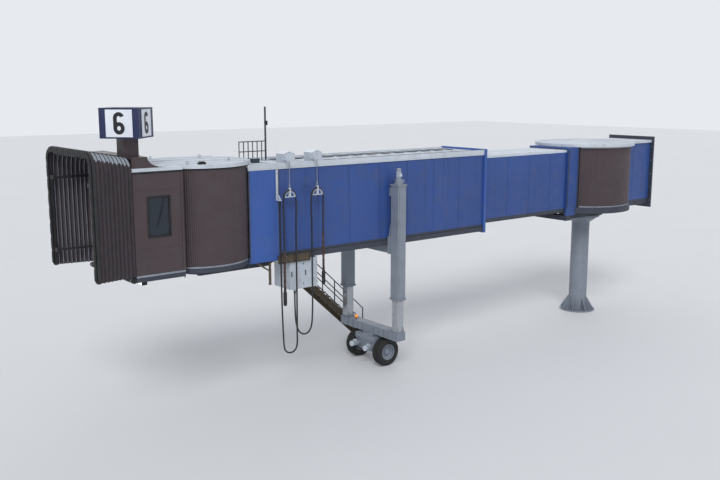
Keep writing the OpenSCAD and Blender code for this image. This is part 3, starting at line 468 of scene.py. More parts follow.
FRONT_LOOP = [(0.290, -0.110, -0.100), (0.290, -0.110, -0.900), (0.290, -0.100, -1.900),
              (0.290, -0.085, -2.900), (0.284, -0.065, -3.800), (0.272, -0.045, -4.400),
              (0.260, -0.038, -4.660), (0.228, -0.032, -4.800), (0.146, -0.024, -4.890),
              (0.030, -0.016, -4.920), (-0.086, -0.008, -4.890), (-0.168, -0.002, -4.800),
              (-0.202, 0.0, -4.660), (-0.212, 0.0, -4.300), (-0.219, 0.0, -3.500),
              (-0.219, 0.0, -2.600), (-0.219, 0.0, -1.700), (-0.219, 0.0, -0.900)]
REAR_LOOP = [(0.660, -0.350, -3.040), (0.660, -0.350, -3.450), (0.660, -0.330, -3.850),
             (0.652, -0.295, -4.120), (0.622, -0.252, -4.290), (0.558, -0.205, -4.405),
             (0.455, -0.155, -4.455), (0.350, -0.110, -4.420), (0.272, -0.070, -4.310),
             (0.234, -0.040, -4.130), (0.222, -0.015, -3.800), (0.219, 0.0, -3.300),
             (0.219, 0.0, -2.500), (0.219, 0.0, -1.700), (0.219, 0.0, -0.900)]
ARC = [(x, 0.0, z) for x, z in circle(SADDLE_R, 16, 180, -360)[:9]]
FRONT_END = [(0.219, 0.0, -0.800), (0.219, 0.0, -1.680)]
REAR_END = [(-0.219, 0.0, -0.600), (-0.219, 0.0, -1.200)]


def route(points, saddle_x):
    """Route points moved to their saddle."""
    return [Vector((saddle_x + x, CABLE_Y + y, SADDLE_Z + z)) for x, y, z in points]


def smooth_path(points, steps=5):
    """A curve through the points, with steps points for each span."""
    pts = [Vector(p) for p in points]
    out = []
    for i in range(len(pts) - 1):
        p0 = pts[i - 1] if i else pts[0] * 2 - pts[1]
        p1, p2 = pts[i], pts[i + 1]
        p3 = pts[i + 2] if i + 2 < len(pts) else pts[-1] * 2 - pts[-2]
        d1, d2, d3 = (max((b - a).length, 1e-4) ** 0.5 for a, b in ((p0, p1), (p1, p2), (p2, p3)))
        m1 = ((p1 - p0) / d1 ** 2 * d2 + (p2 - p1) / d2 ** 2 * d1) / (d1 + d2) * d2 ** 2
        m2 = ((p2 - p1) / d2 ** 2 * d3 + (p3 - p2) / d3 ** 2 * d2) / (d2 + d3) * d2 ** 2
        for k in range(steps):
            t = k / steps
            out.append((2 * t ** 3 - 3 * t ** 2 + 1) * p1 + (t ** 3 - 2 * t ** 2 + t) * m1
                       + (3 * t ** 2 - 2 * t ** 3) * p2 + (t ** 3 - t ** 2) * m2)
    out.append(pts[-1])
    return out


def power_cable(name, points, node):
    """One ground power cable, which runs on through its sleeve into the connector."""
    path = smooth_path(points + [points[-1] - Vector((0, 0, PLUG_DEPTH))])
    shape = Shape()
    shape.tube(path, CABLE_D / 2, 12)
    obj = shape.object(name, "cable_black", "outer_tunnel")
    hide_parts(node)


def cable_plug(name, end):
    """A padded sleeve with straps, and the connector under it."""
    sleeve = Shape()
    rings = []
    count = 57
    for k, f in enumerate(spread(0, 1, count)):
        r = SLEEVE_R * (0.93 + 0.055 * math.sin(f * 58) + 0.02 * math.sin(f * 23 + 1))
        if k in (0, count - 1):
            r = SLEEVE_R * 0.72
        rings.append((r, -f * SLEEVE_L))
    sleeve.spun([(0.001, 0)] + rings + [(0.001, -SLEEVE_L)], end, UP, 24)
    sleeve = sleeve.object(name + "_sleeve", "sleeve_brown", "outer_tunnel")
    straps = Shape()
    low, high = SLEEVE_R * 0.9, SLEEVE_R * 1.03
    for f in (0.04, 0.30, 0.56, 0.82, 0.97):
        straps.spun([(low, -0.016), (high, -0.014), (high, 0.014), (low, 0.016)],
                    end - Vector((0, 0, f * SLEEVE_L)), UP, 24)
    straps = straps.object(name + "_straps", "rubber_black", "outer_tunnel")
    head = Shape()
    top = end - Vector((0, 0, SLEEVE_L))
    outline = [(0.001, 0), (0.036, 0), (0.040, -0.02), (0.040, -0.10), (0.050, -0.13),
               (0.058, -0.15), (0.058, -0.30), (0.054, -0.31), (0.054, -0.33), (0.058, -0.34),
               (0.058, -0.49), (0.052, -0.51), (0.052, -0.555), (0.044, -PLUG_L), (0.001, -PLUG_L)]
    head.spun(outline, top, UP, 32)
    for x, y in circle(0.0565, 12):
        head.tube([top + Vector((x, y, -0.17)), top + Vector((x, y, -0.29))], 0.0035, 6)
    head = head.object(name + "_head", "rubber_black", "outer_tunnel", bevel=0.002)
    return [sleeve, straps, head]


front_points = route(FRONT_LOOP + ARC + FRONT_END, SADDLE_X[0])
rear_points = route(REAR_LOOP + ARC[::-1] + REAR_END, SADDLE_X[1])
front_plug = cable_plug("front_plug", front_points[-1])
rear_plug = cable_plug("rear_plug", rear_points[-1])
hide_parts("power_plugs")
power_cable("front_power_cable", front_points, "ground_power_cable_front")
power_cable("rear_power_cable", rear_points, "ground_power_cable_rear")


# Slatted curtains of the cab and the rotunda
SLAT_PITCH = 0.062
SLAT_SAMPLES = 6


def slat_curtain(name, centre_x, r, a0, a1, z0, z1, mirror):
    """Upright slats on a round line from angle a0 to a1, in degrees."""
    count = round(math.radians(a1 - a0) * r / SLAT_PITCH)
    inner, outer = [], []
    for i in range(count * SLAT_SAMPLES):
        u = i % SLAT_SAMPLES / SLAT_SAMPLES
        angle = math.radians(a0 + (a1 - a0) * i / (count * SLAT_SAMPLES))
        bulge = 0.010 * math.sin(math.pi * u) ** 0.7 if u else 0.0
        for line, radius in ((outer, r - 0.012 + bulge), (inner, r - 0.020 + 0.5 * bulge)):
            line.append((centre_x + radius * math.cos(angle), mirror * radius * math.sin(angle)))
    n = len(outer)
    faces = []
    for k in range(n - 1):
        faces.append((k, k + 1, n + k + 1, n + k))
        faces.append((2 * n + k, 3 * n + k, 3 * n + k + 1, 2 * n + k + 1))
        faces.append((k, 2 * n + k, 2 * n + k + 1, k + 1))
        faces.append((n + k, n + k + 1, 3 * n + k + 1, 3 * n + k))
    shape = Shape()
    shape.add([(x, y, z) for line in (outer, inner) for z in (z0, z1) for x, y in line], faces)
    return shape.object(name, "curtain_bronze")


CAB_R = 1.56
CAB_BACK = CAB_WALL[0].x - CAB_X
CAB_A0 = math.degrees(math.acos(CAB_BACK / CAB_R)) + 0.1
CAB_A1 = 180 - math.degrees(math.asin((WALL_Y - 0.035) / CAB_R))
ROT_R = 1.935
ROT_A0 = math.degrees(math.atan2(PORTAL[1].y, PORTAL[0].x)) + 0.6


def turn_with_cab(piece):
    """Bakes the placement of a piece of the cab's round side into its mesh."""
    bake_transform(piece)


def turn_with_swing(piece):
    """Bakes the placement of a piece of the rotunda's round side into its mesh."""
    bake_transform(piece)


for side, mirror in SIDES:
    cab_curtain = slat_curtain("cab_curtain_" + side, CAB_X, CAB_R, CAB_A0, CAB_A1,
                               CAB_FLOOR[1].z + 0.004, CAB_ROOF[0].z - 0.004, mirror)
    turn_with_cab(cab_curtain)
    rotunda_curtain = slat_curtain("rotunda_curtain_" + side, 0, ROT_R, ROT_A0, 180 - ROT_A0,
                                   ROTUNDA[1].z + 0.004, ROTUNDA_ROOF[0].z - 0.004, mirror)
    turn_with_swing(rotunda_curtain)
    if side == "left":
        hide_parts("cab_curtains")
        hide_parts("rotunda_curtains")


# Canopy: pleated cloth from the cab to the front frame
CANOPY_X0 = BELLOWS[0].x
CANOPY_L = BELLOWS[1].x - BELLOWS[0].x
CANOPY_FOOT = FRONT[0].z
CANOPY_W = (CAB_WALL[1].y, FRONT[1].y)
CANOPY_TOP = (HOOD[1].z, FRONT[1].z)
CANOPY_ROUND = 0.42
PLEATS = 9
PLEAT_DEPTH = 0.06
PLEAT_STEPS = 10
CLOTH_THICK = 0.006


def hoop(w, z0, z1, r, steps=8):
    """Points of an upside-down U, from the left foot to the right foot, in Y and Z."""
    rise = [(-w, z0 + (z1 - r - z0) * k / 10) for k in range(10)]
    left = [(-w + r + y, z1 - r + z) for y, z in circle(r, steps + 1, 180, -90 * (steps + 1) / steps)]
    across = [(-w + r + (2 * w - 2 * r) * k / 12, z1) for k in range(1, 12)]
    right = [(-y, z) for y, z in reversed(left)]
    return rise + left + across + right + [(-y, z) for y, z in reversed(rise)]


def canopy_ring(f, inset):
    """The cloth's line at share f of the canopy's length, inset from its outside."""
    w = CANOPY_W[0] + (CANOPY_W[1] - CANOPY_W[0]) * f - inset
    top = CANOPY_TOP[0] + (CANOPY_TOP[1] - CANOPY_TOP[0]) * f - inset
    return hoop(w, CANOPY_FOOT, top, CANOPY_ROUND)


def slack(f, y, z):
    """A point of the cloth at share f, with the small droop between the hoops."""
    droop = abs(0.010 * math.sin(7.0 * z + 3 * y + 1.7 * math.floor(f * PLEATS))
                * math.sin(math.pi * f * PLEATS))
    sag = droop if z > CANOPY_TOP[0] - CANOPY_ROUND else 0
    return CANOPY_X0 + CANOPY_L * f, y * (1 - droop / max(0.4, abs(y))), z - sag


def with_canopy(piece):
    """Bakes the placement of a piece of the canopy into its mesh."""
    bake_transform(piece)


rows = PLEATS * PLEAT_STEPS + 1
verts = []
for thick in (0.0, CLOTH_THICK):
    for f in spread(0, 1, rows):
        # Sharp crests outside and round folds inside
        fold = 0.014 + PLEAT_DEPTH * abs(math.sin(math.pi * (f * PLEATS % 1.0))) ** 0.8
        verts += [slack(f, y, z) for y, z in canopy_ring(f, fold + thick)]
half = len(verts) // 2
row = half // rows
faces = quads(rows, row, False)
faces += [tuple(half + i for i in face[::-1]) for face in faces]
rim = [k for k in range(row)] + [k * row - 1 for k in range(2, rows + 1)]
rim += [half - 1 - k for k in range(1, row)] + [k * row for k in range(rows - 2, 0, -1)]
faces += [(a, b, half + b, half + a) for a, b in zip(rim, rim[1:] + rim[:1])]
canopy = Shape()
canopy.add(verts, faces)
canopy = canopy.object("canopy_cloth", "canopy_cloth")
canopy.data.materials.append(MATERIALS["canopy_side"])
for polygon in canopy.data.polygons:
    along = (polygon.center.x - CANOPY_X0) / CANOPY_L
    top = CANOPY_TOP[0] + (CANOPY_TOP[1] - CANOPY_TOP[0]) * along
    if polygon.center.z < top - 0.22:
        polygon.material_index = 1
with_canopy(canopy)
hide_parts("canopy_bellows")

# Piping sewn on the crests of the pleats, and folding hoops that hold its valleys from inside
piping = Shape()
hoops = Shape()
for p in range(PLEATS + 1):
    x = CANOPY_X0 + CANOPY_L * min(max(p / PLEATS, 0.004), 0.996)
    piping.tube([(x, y, z) for y, z in canopy_ring(p / PLEATS, 0.016)], 0.009, 6)
for p in range(PLEATS):
    f = (p + 0.5) / PLEATS
    line = canopy_ring(f, PLEAT_DEPTH + 0.034)
    hoops.tube([(CANOPY_X0 + CANOPY_L * f, y, z) for y, z in line], 0.011, 8)
with_canopy(piping.object("canopy_piping", "rubber_black"))
with_canopy(hoops.object("canopy_hoops", "galvanised"))

# Quilted pad round the front frame
PAD_DEEP, PAD_WIDE = 0.055, 0.15
PAD_X = FRONT[1].x - 0.001
PAD_INSET = 0.085
PAD_STEP = 0.03
QUILT = 0.42
pad_line = [Vector((PAD_X, y, z)) for y, z in hoop(CANOPY_W[1] - PAD_INSET, CANOPY_FOOT + 0.02,
                                                   CANOPY_TOP[1] - PAD_INSET, CANOPY_ROUND - PAD_INSET)]
lengths = [0.0]
for a, b in zip(pad_line, pad_line[1:]):
    lengths.append(lengths[-1] + (b - a).length)
count = int(lengths[-1] / PAD_STEP)
sections = []
for i in range(count + 1):
    s = lengths[-1] * i / count
    j = max(k for k in range(len(pad_line) - 1) if lengths[k] <= s + 1e-9)
    share = (s - lengths[j]) / (lengths[j + 1] - lengths[j])
    middle = pad_line[j].lerp(pad_line[j + 1], share)
    along = (pad_line[j + 1] - pad_line[j]).normalized()
    if j + 2 < len(pad_line):
        after = (pad_line[j + 2] - pad_line[j + 1]).normalized()
        along = along.lerp(after, share).normalized()
    out = along.cross(Vector((1, 0, 0))).normalized()
    seam = abs(math.sin(math.pi * s / QUILT)) ** 0.22
    fade = min(1.0, i / 2, (count - i) / 2) if i not in (0, count) else 0.3
    deep = PAD_DEEP * (0.62 + 0.38 * seam) * fade
    wide = PAD_WIDE * (0.9 + 0.1 * seam)
    sections.append([middle + Vector((deep * 0.5 * (1 + c), 0, 0)) + out * (wide / 2 * s)
                     for c, s in circle(1, 14)])
pad = Shape()
pad.sweep(sections)
pad.object("canopy_front_pad", "rubber_black", "canopy")


# Rivet rows beside the wall panels' joints; door is a span left free at the right
def wall_rivets(name, x0, x1, y, z0, z1, body, door=(0, 0)):
    zs = spread(z0 + 0.08, z1 - 0.08, 16)
    xs = [x0 + 1.25 * i + dx for i in range(int((x1 - x0 - 0.02) / 1.25) + 1) for dx in (-0.035, 0.05)]
    for side, mirror in SIDES:
        shape = Shape()
        for x in xs:
            free = mirror < 0 and door[0] - 0.08 < x < door[1] + 0.08
            if x0 + 0.02 <= x <= x1 - 0.02 and not free:
                shape.rivets([(x, mirror * y, z) for z in zs], (0, mirror, 0))
        shape.object(name + "_rivets_" + side, "blue_paint", body)


DOOR_SPAN = (DOOR[0].x, DOOR[1].x)
wall_rivets("outer", WALL[0].x, END_PANEL[0].x - 0.03, WALL_Y, WALL[0].z, WALL[1].z, "outer_tunnel",
            DOOR_SPAN)
wall_rivets("inner", INNER_WALL[0].x, INNER_WALL[1].x, INNER_WALL[1].y, INNER_WALL[0].z, INNER_WALL[1].z,
            "inner_tunnel")

# Angles along the foot and the eave of the outer tunnel's walls, and the end panels' edges
for side, mirror in SIDES:
    y, out = mirror * WALL_Y, (0, mirror, 0)
    x0, x1, foot = WALL[0].x, END_PANEL[0].x - 0.004, WALL[0].z
    spans = [(x0, x1)] if mirror > 0 else [(x0, DOOR_SPAN[0] - 0.07), (DOOR_SPAN[1] + 0.07, x1)]
    trim = Shape()
    for a, b in spans:
        trim.block((a, y, foot), (b, y + mirror * 0.012, foot + 0.07))
        heads = [(a + 0.15 + k * 0.31, y + mirror * 0.012, foot + 0.035)
                 for k in range(int((b - a - 0.2) / 0.31))]
        trim.rivets(heads, out, 0.012)
    trim.object("foot_angle_" + side, "frame_dark", "outer_tunnel", bevel=0.002)
    blocks("eave_flashing_" + side, "roof_grey", "outer_tunnel",
           [((x0, y, WALL[1].z - 0.05), (WALL[1].x - 0.02, y + mirror * 0.034, WALL[1].z - 0.001))], 0.003)
    y, x, end_x, top = mirror * END_PANEL[1].y, END_PANEL[0].x, WALL[1].x - 0.012, WALL[1].z - 0.052
    blocks("end_panel_edges_" + side, "frame_dark", "outer_tunnel",
           [((x - 0.006, y - mirror * 0.02, END_PANEL[0].z), (x + 0.03, y + mirror * 0.004, top)),
            ((end_x - 0.045, y, END_PANEL[0].z + 0.02), (end_x, y + mirror * 0.006, top))], 0.002)
    blocks("curtain_brush_" + side, "rubber_black", "outer_tunnel",
           [((end_x - 0.012, y - mirror * 0.05, CAB_FLOOR[1].z + 0.02),
             (end_x + 0.012, y, WALL[1].z - 0.06))])

# Standing seams, a walkway, clamps on the conduits and the lid of a junction box, on the roofs
DECK = ROOF[1].z - 0.041
blocks("outer_roof_seams", "roof_grey", "outer_tunnel",
       [((x - 0.009, ROOF[0].y + 0.05, DECK), (x + 0.009, ROOF[1].y - 0.05, ROOF[1].z - 0.012))
        for x in spread(ROOF[0].x + 0.3, ROOF[1].x - 0.3, 16)], 0.003)
blocks("inner_roof_seams", "roof_grey", "inner_tunnel",
       [((x - 0.006, INNER_ROOF[0].y + 0.03, INNER_ROOF[1].z - 0.001),
         (x + 0.006, INNER_ROOF[1].y - 0.03, INNER_ROOF[1].z + 0.004))
        for x in spread(INNER_ROOF[0].x + 0.25, INNER_ROOF[1].x - 0.25, 14)])
blocks("roof_walkway", "frame_dark", "outer_tunnel",
       [((x, -0.62, DECK), (x + 0.30, -0.08, ROOF[1].z - 0.016))
        for x in (ROOF[0].x + 0.4 + k * 0.33 for k in range(24))], 0.004)
blocks("conduit_clamps", "galvanised", "outer_tunnel",
       [((x, ROOF[1].y - 0.225, DECK), (x + 0.03, ROOF[1].y - 0.11, ROOF[1].z + 0.006))
        for x in (ROOF[0].x + 0.7 + k * 0.75 for k in range(9))], 0.002)
x, z = ROOF[1].x - 0.9, ROOF[1].z + 0.108
lid = Shape()
lid.block((x + 0.008, 0.208, z - 0.008), (x + 0.232, 0.352, z))
for dx in (0.03, 0.21):
    for y in (0.225, 0.335):
        lid.bolt((x + dx, y, z), UP, 0.007, 0.006)
lid.object("roof_box_lid", "equipment_grey", "outer_tunnel", bevel=0.003)

# Rear frame: bolts, and a rubber wiper round the inner tunnel
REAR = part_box("rear_frame")
x, reach = REAR[0].x, REAR[1].y
heads = [(x, mirror * (reach - 0.06), z) for mirror in (1, -1)
         for z in spread(REAR[0].z + 0.15, REAR[1].z - 0.15, 12)]
heads += [(x, y, REAR[1].z - 0.07) for y in spread(-reach + 0.15, reach - 0.15, 9)]
bolts("rear_frame_bolts", "outer_tunnel", [(p, (-1, 0, 0)) for p in heads], 0.014, 0.012)
gap = INNER_WALL[1].y + 0.02
top = INNER_ROOF[1].z + 0.02
blocks("rear_wiper", "rubber_black", "outer_tunnel",
       [((x - 0.012, m * (gap - 0.014), INNER[1].z - 0.16), (x, m * (gap + 0.05), top + 0.05))
        for m in (1, -1)]
       + [((x - 0.012, -gap - 0.05, top - 0.014), (x, gap + 0.05, top + 0.05))], 0.003)


# Interiors: linings, flooring, lights and handrails
def lining(name, x0, x1, half, z0, z1, body, door=None, bare=0.018, pile=0.012):
    """What lines a tunnel inside; bare is the strip beside the flooring, pile its thickness."""
    panels, skirts = [], []
    rail = Shape()
    count = max(1, round((x1 - x0) / 1.22))
    joints = spread(x0, x1, count + 1)
    for mirror in (1, -1):
        cut = [door[0] - 0.05, door[1] + 0.05] if door and mirror < 0 else []
        y, height = mirror * (half - 0.06), z0 + 0.95
        for a, b in zip(joints, joints[1:]):
            a, b = a + 0.004, b - 0.004
            ends = [a] + (cut if cut and a < cut[1] and b > cut[0] else []) + [b]
            panels += [((p, mirror * (half - 0.012), z0 + 0.12), (q, mirror * half, z1 - 0.05))
                       for p, q in zip(ends[::2], ends[1::2]) if q - p > 0.03]
        ends = [x0] + cut + [x1]
        for a, b in zip(ends[::2], ends[1::2]):
            skirts.append(((a, mirror * (half - 0.018), z0 + 0.012), (b, mirror * half, z0 + 0.12)))
            rail.tube([(a + 0.05, y, height), (b - 0.05, y, height)], 0.019, 10)
            for x in spread(a + 0.15, b - 0.15, max(2, int((b - a) / 1.2))):
                rail.tube([(x, y, height), (x, mirror * (half - 0.055), height - 0.05),
                           (x, mirror * (half - 0.01), height - 0.06)], 0.008, 6)
    blocks(name + "_lining", "liner", body, panels, 0.002, "equipment_grey")
    blocks(name + "_skirting", "frame_dark", body, skirts)
    rail.object(name + "_handrail", "galvanised", body)
    blocks(name + "_carpet", "carpet", body, [((x0, -half + bare, z0), (x1, half - bare, z0 + pile))],
           0.002, "canopy_cloth")
    count = max(1, int((x1 - x0) / 1.6))
    middles = [x0 + (k + 0.5) * (x1 - x0) / count for k in range(count)]
    blocks(name + "_lamps", "white_light", body,
           [((x - 0.55, -0.06, z1 - 0.045), (x + 0.55, 0.06, z1 - 0.022)) for x in middles], 0.004,
           "equipment_grey")
    blocks(name + "_lamp_frames", "equipment_grey", body,
           [((x - 0.58, -0.09, z1 - 0.024), (x + 0.58, 0.09, z1 - 0.001)) for x in middles], 0.003)


def flooring(name, body, outline, z, thick):
    """A sheet of flooring with that outline in X and Y."""
    shape = Shape()
    shape.prism([(x, y, z) for x, y in outline], (0, 0, thick))
    shape.object(name, "carpet", body, "canopy_cloth")


HALF = WALL_Y - 0.07
SHOE_STRIP = HALF - (INNER[1].y - 0.13)
lining("inner", INNER_WALL[0].x + 0.02, INNER_WALL[1].x - 0.02, INNER_WALL[1].y - 0.07, INNER[1].z,
       INNER_ROOF[0].z, "inner_tunnel")
lining("outer", INNER[1].x + 1.75, WALL[1].x - 0.02, HALF, OUTER[1].z, WALL[1].z, "outer_tunnel", DOOR_SPAN,
       SHOE_STRIP, 0.004)
lining("corridor", ROTUNDA[0].x + 0.01, -1.66, 0.95, ROTUNDA[1].z, ROTUNDA_ROOF[0].z, "rotunda")
front_x, neck_x = CAB_FLOOR[1].x - 0.02, CAB_WALL[0].x + 0.08
outline = [(CAB_X + x, y) for x, y in circle(1.5, 69, 44, 276)]
outline += [(neck_x, -1.0), (neck_x, -1.41), (front_x, -1.41), (front_x, 1.41), (neck_x, 1.41),
            (neck_x, 1.0)]
flooring("cab_flooring", "cab", outline, CAB_FLOOR[1].z, 0.01)
flooring("rotunda_flooring", "rotunda", circle(1.86, 64), ROTUNDA[1].z, 0.009)


# Cab: trims, windows, lamps and what shows inside
CAB_TOP = CAB_ROOF[1].z
CAB_BOTTOM = CAB_FLOOR[0].z
CAB_X0, CAB_X1 = CAB_WALL[0].x, CAB_WALL[1].x
CAB_Y = CAB_WALL[1].y
FLOOR_Z, CEILING = CAB_FLOOR[1].z, CAB_ROOF[0].z


def ribbon(shape, line, thick, z0, z1):
    """An upright strip that follows a line seen from above; thick is to the line's left."""
    pts = [Vector((x, y, 0)) for x, y in line]
    outer = []
    for i, p in enumerate(pts):
        along = (pts[min(i + 1, len(pts) - 1)] - pts[max(i - 1, 0)]).normalized()
        outer.append(p + Vector((-along.y, along.x, 0)) * thick)
    shape.sweep([[(a.x, a.y, z0), (b.x, b.y, z0), (b.x, b.y, z1), (a.x, a.y, z1)]
                 for a, b in zip(pts, outer)])


WIN_X = (CAB_X0 + CAB_X1) / 2
WIN_Z0 = FLOOR_Z + 1.1
WIN_HALF, WIN_H = 0.30, 1.05
for side, mirror in SIDES:
    # Dark gasket under the roof's edge, pale fascia above it, and the pale strip at the foot
    y = mirror * CAB_Y
    x_end = CAB_X1 - 0.002
    blocks("cab_gutter_" + side, "rubber_black", "cab",
           [((CAB_X0, y, CEILING - 0.045), (x_end, y + mirror * 0.012, CEILING + 0.012))])
    blocks("cab_foot_strip_" + side, "galvanised", "cab",
           [((CAB_X0, y, FLOOR_Z - 0.01), (x_end, y + mirror * 0.012, FLOOR_Z + 0.045))], 0.002)
    blocks("cab_fascia_" + side, "roof_grey", "cab",
           [((CAB_X0, y, CEILING + 0.014), (x_end, y + mirror * 0.016, CAB_TOP - 0.002))], 0.003)
    a0, turn = CAB_A0 + 0.6, CAB_A1 - CAB_A0 - 1.8
    arc = [(CAB_X + x, mirror * y) for x, y in circle(CAB_R - 0.002, 41, a0, turn * 41 / 40)][::-mirror]
    for name, material, thick, z0, z1 in (
            ("curtain_head_", "rubber_black", 0.014, CEILING - 0.05, CEILING - 0.002),
            ("curtain_sill_", "galvanised", 0.015, FLOOR_Z + 0.001, FLOOR_Z + 0.045)):
        shape = Shape()
        ribbon(shape, arc, thick, z0, z1)
        turn_with_cab(shape.object(name + side, material))

    # Corner posts, cross strips, the window's frame inside and outside, and its wiper
    low, high = FLOOR_Z + 0.046, CEILING - 0.046
    posts = [(CAB_X0 + 0.001, CAB_X0 + 0.07, low, high, 0.012),
             (CAB_X1 - 0.09, CAB_X1 - 0.002, low, high, 0.012)]
    posts += [(CAB_X0 + 0.071, CAB_X1 - 0.091, z, z + 0.03, 0.008)
              for z in (WIN_Z0 - 0.35, WIN_Z0 + WIN_H + 0.20)]
    blocks("cab_posts_" + side, "curtain_bronze", "cab",
           [((x0, y, z0), (x1, y + mirror * deep, z1)) for x0, x1, z0, z1, deep in posts], 0.002)
    x0, x1, z0, z1 = WIN_X - WIN_HALF, WIN_X + WIN_HALF, WIN_Z0, WIN_Z0 + WIN_H
    bars = ((x0 - 0.05, x1 + 0.05, z0 - 0.05, z0), (x0 - 0.05, x1 + 0.05, z1, z1 + 0.05),
            (x0 - 0.05, x0, z0, z1), (x1, x1 + 0.05, z0, z1))
    blocks("cab_window_frame_" + side, "rubber_black", "cab",
           [((a, y + mirror * near, c), (b, y + mirror * far, d)) for a, b, c, d in bars
            for near, far in ((-0.003, 0.014), (-0.067, -0.082))], 0.004)
    wiper = Shape()
    wy = y + mirror * 0.004
    wiper.tube([(WIN_X - 0.18, wy, z1 + 0.02), (WIN_X - 0.02, wy, z0 + 0.45)], 0.006, 6)
    wiper.tube([(WIN_X - 0.10, wy, z0 + 0.78), (WIN_X + 0.06, wy, z0 + 0.22)], 0.008, 6)
    wiper.object("cab_wiper_" + side, "rubber_black", "cab")

# Hood: dark side panels with rivets, and the pale sheet up its concave back with its foot and ribs
HOOD_X0, HOOD_X1 = HOOD[0].x, HOOD[1].x
HOOD_Z0, HOOD_Z1 = HOOD[0].z, HOOD[1].z
HOOD_FLAT = 0.45


def hood_line(inset, steps):
    """The hood's concave edge from its foot to its top, in X and Z, moved in by inset."""
    long, high = HOOD_X1 - HOOD_FLAT - HOOD_X0, HOOD_Z1 - HOOD_Z0
    out = []
    for k in range(steps + 1):
        c, s = math.cos(math.pi / 2 * k / steps), math.sin(math.pi / 2 * k / steps)
        tangent = Vector((long * c, 0, high * s)).normalized()
        out.append((HOOD_X0 + long * s + tangent.z * inset, HOOD_Z0 + high * (1 - c) - tangent.x * inset))
    return out


for side, mirror in SIDES:
    low, high, x = HOOD_Z0 + 0.004, HOOD_Z1 - 0.045, HOOD_X1 - 0.012
    line = [(a, z) for a, z in hood_line(0.045, 14) if low < z < high]
    pts = [(x, low), (x, high), (line[-1][0], high)] + line[::-1] + [(line[0][0] - 0.01, low)]
    panel = Shape()
    panel.prism([(a, mirror * CAB_Y, z) for a, z in pts], (0, mirror * 0.005, 0))
    panel.object("hood_side_" + side, "curtain_bronze", "cab", bevel=0.001)
    spots = [(a, z) for a, z in hood_line(0.075, 9) if z > HOOD_Z0 + 0.02]
    spots += [(HOOD_X1 - 0.035, HOOD_Z0 + 0.04 + 0.055 * k) for k in range(5)]
    rivets = Shape()
    rivets.rivets([(a, mirror * (CAB_Y + 0.005), z) for a, z in spots], (0, mirror, 0), 0.008, 0.005)
    rivets.object("hood_rivets_" + side, "curtain_bronze", "cab")
sheet = Shape()
curve, skin, rib = (hood_line(inset, 18) for inset in (0.001, -0.012, -0.030))
sheet.prism([(x, -CAB_Y, z) for x, z in curve + skin[::-1]], (0, 2 * CAB_Y, 0))
sheet.block((HOOD_X0 - 0.14, -CAB_Y + 0.01, CAB_TOP - 0.001),
            (HOOD_X0 + 0.005, CAB_Y - 0.01, CAB_TOP + 0.012))
for y in spread(-CAB_Y + 0.02, CAB_Y - 0.02, 5):
    sheet.prism([(x, y - 0.007, z) for x, z in skin[:-1] + rib[:-1][::-1]], (0, 0.014, 0))
sheet.object("hood_sheet", "roof_grey", "cab", bevel=0.002)
sheet_rivets = Shape()
sheet_rivets.rivets([(HOOD_X0 - 0.11, -1.42 + 0.142 * k, CAB_TOP + 0.012) for k in range(21)], UP, 0.009,
                    0.006)
sheet_rivets.object("hood_sheet_rivets", "galvanised", "cab")

# Roof details: seams, the small dark fixture, lifting eyes, and the rubber strip under its edge
seams = []
for y in (-1.05, -0.35, 0.35, 1.05):
    reach = math.sqrt((CAB_X - CAB_ROOF[0].x) ** 2 - y ** 2) - 0.05
    seams.append(((CAB_X - reach, y - 0.008, CAB_TOP - 0.001),
                  (HOOD_X0 - 0.13, y + 0.008, CAB_TOP + 0.018)))
blocks("cab_roof_seams", "roof_grey", "cab", seams, 0.003)
blocks("roof_fixture", "rubber_black", "cab",
       [((CAB_X + 0.38, 1.30, CAB_TOP - 0.001), (CAB_X + 0.60, 1.42, CAB_TOP + 0.055)),
        ((CAB_X + 0.41, 1.32, CAB_TOP + 0.055), (CAB_X + 0.57, 1.40, CAB_TOP + 0.08))], 0.008)
eyes = Shape()
for x, y in ((18.0, 0.9), (18.0, -0.9), (19.5, 1.2), (19.5, -1.2)):
    eyes.tube([(x + a, y, CAB_TOP + 0.05 + b) for a, b in circle(0.035, 16)], 0.009, 8, closed=True)
    eyes.spun([(0.001, 0), (0.028, 0), (0.022, 0.018), (0.001, 0.018)], (x, y, CAB_TOP), UP, 16)
eyes.object("cab_lifting_eyes", "galvanised", "cab")
roof_seal = Shape()
seal_line = [(CAB_X + x, y) for x, y in circle(1.590, 41, 137, 86 * 41 / 40)]
ribbon(roof_seal, seal_line, -0.012, ROOF[0].z + 0.098, CEILING - 0.004)
roof_seal.object("cab_roof_seal", "rubber_black", "outer_tunnel")

# Bumper bands, and wiper rings at the mouths of the sleeves in which the canopy's rods slide
bumper = Shape()
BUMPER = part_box("cab_bumper")
middle = (BUMPER[0] + BUMPER[1]) / 2
for y in spread(-1.4, 1.4, 9):
    bumper.spun([(0.0702, -0.02), (0.0725, -0.018), (0.0725, 0.018), (0.0702, 0.02)],
                (middle.x, y, middle.z), (0, 1, 0), 24, ring=True)
bumper.object("bumper_bands", "galvanised", "cab")
rod_wipers = Shape()
for y in (-1.32, 1.32):
    for z in (FLOOR_Z + 0.5, CEILING - 0.27):
        rod_wipers.spun([(0.0365, 0.0), (0.047, 0.0), (0.047, 0.010), (0.041, 0.018), (0.0365, 0.018)],
                        (CAB_X1, y, z), (1, 0, 0), 24, ring=True)
rod_wipers.object("canopy_rod_wipers", "rubber_black", "cab")

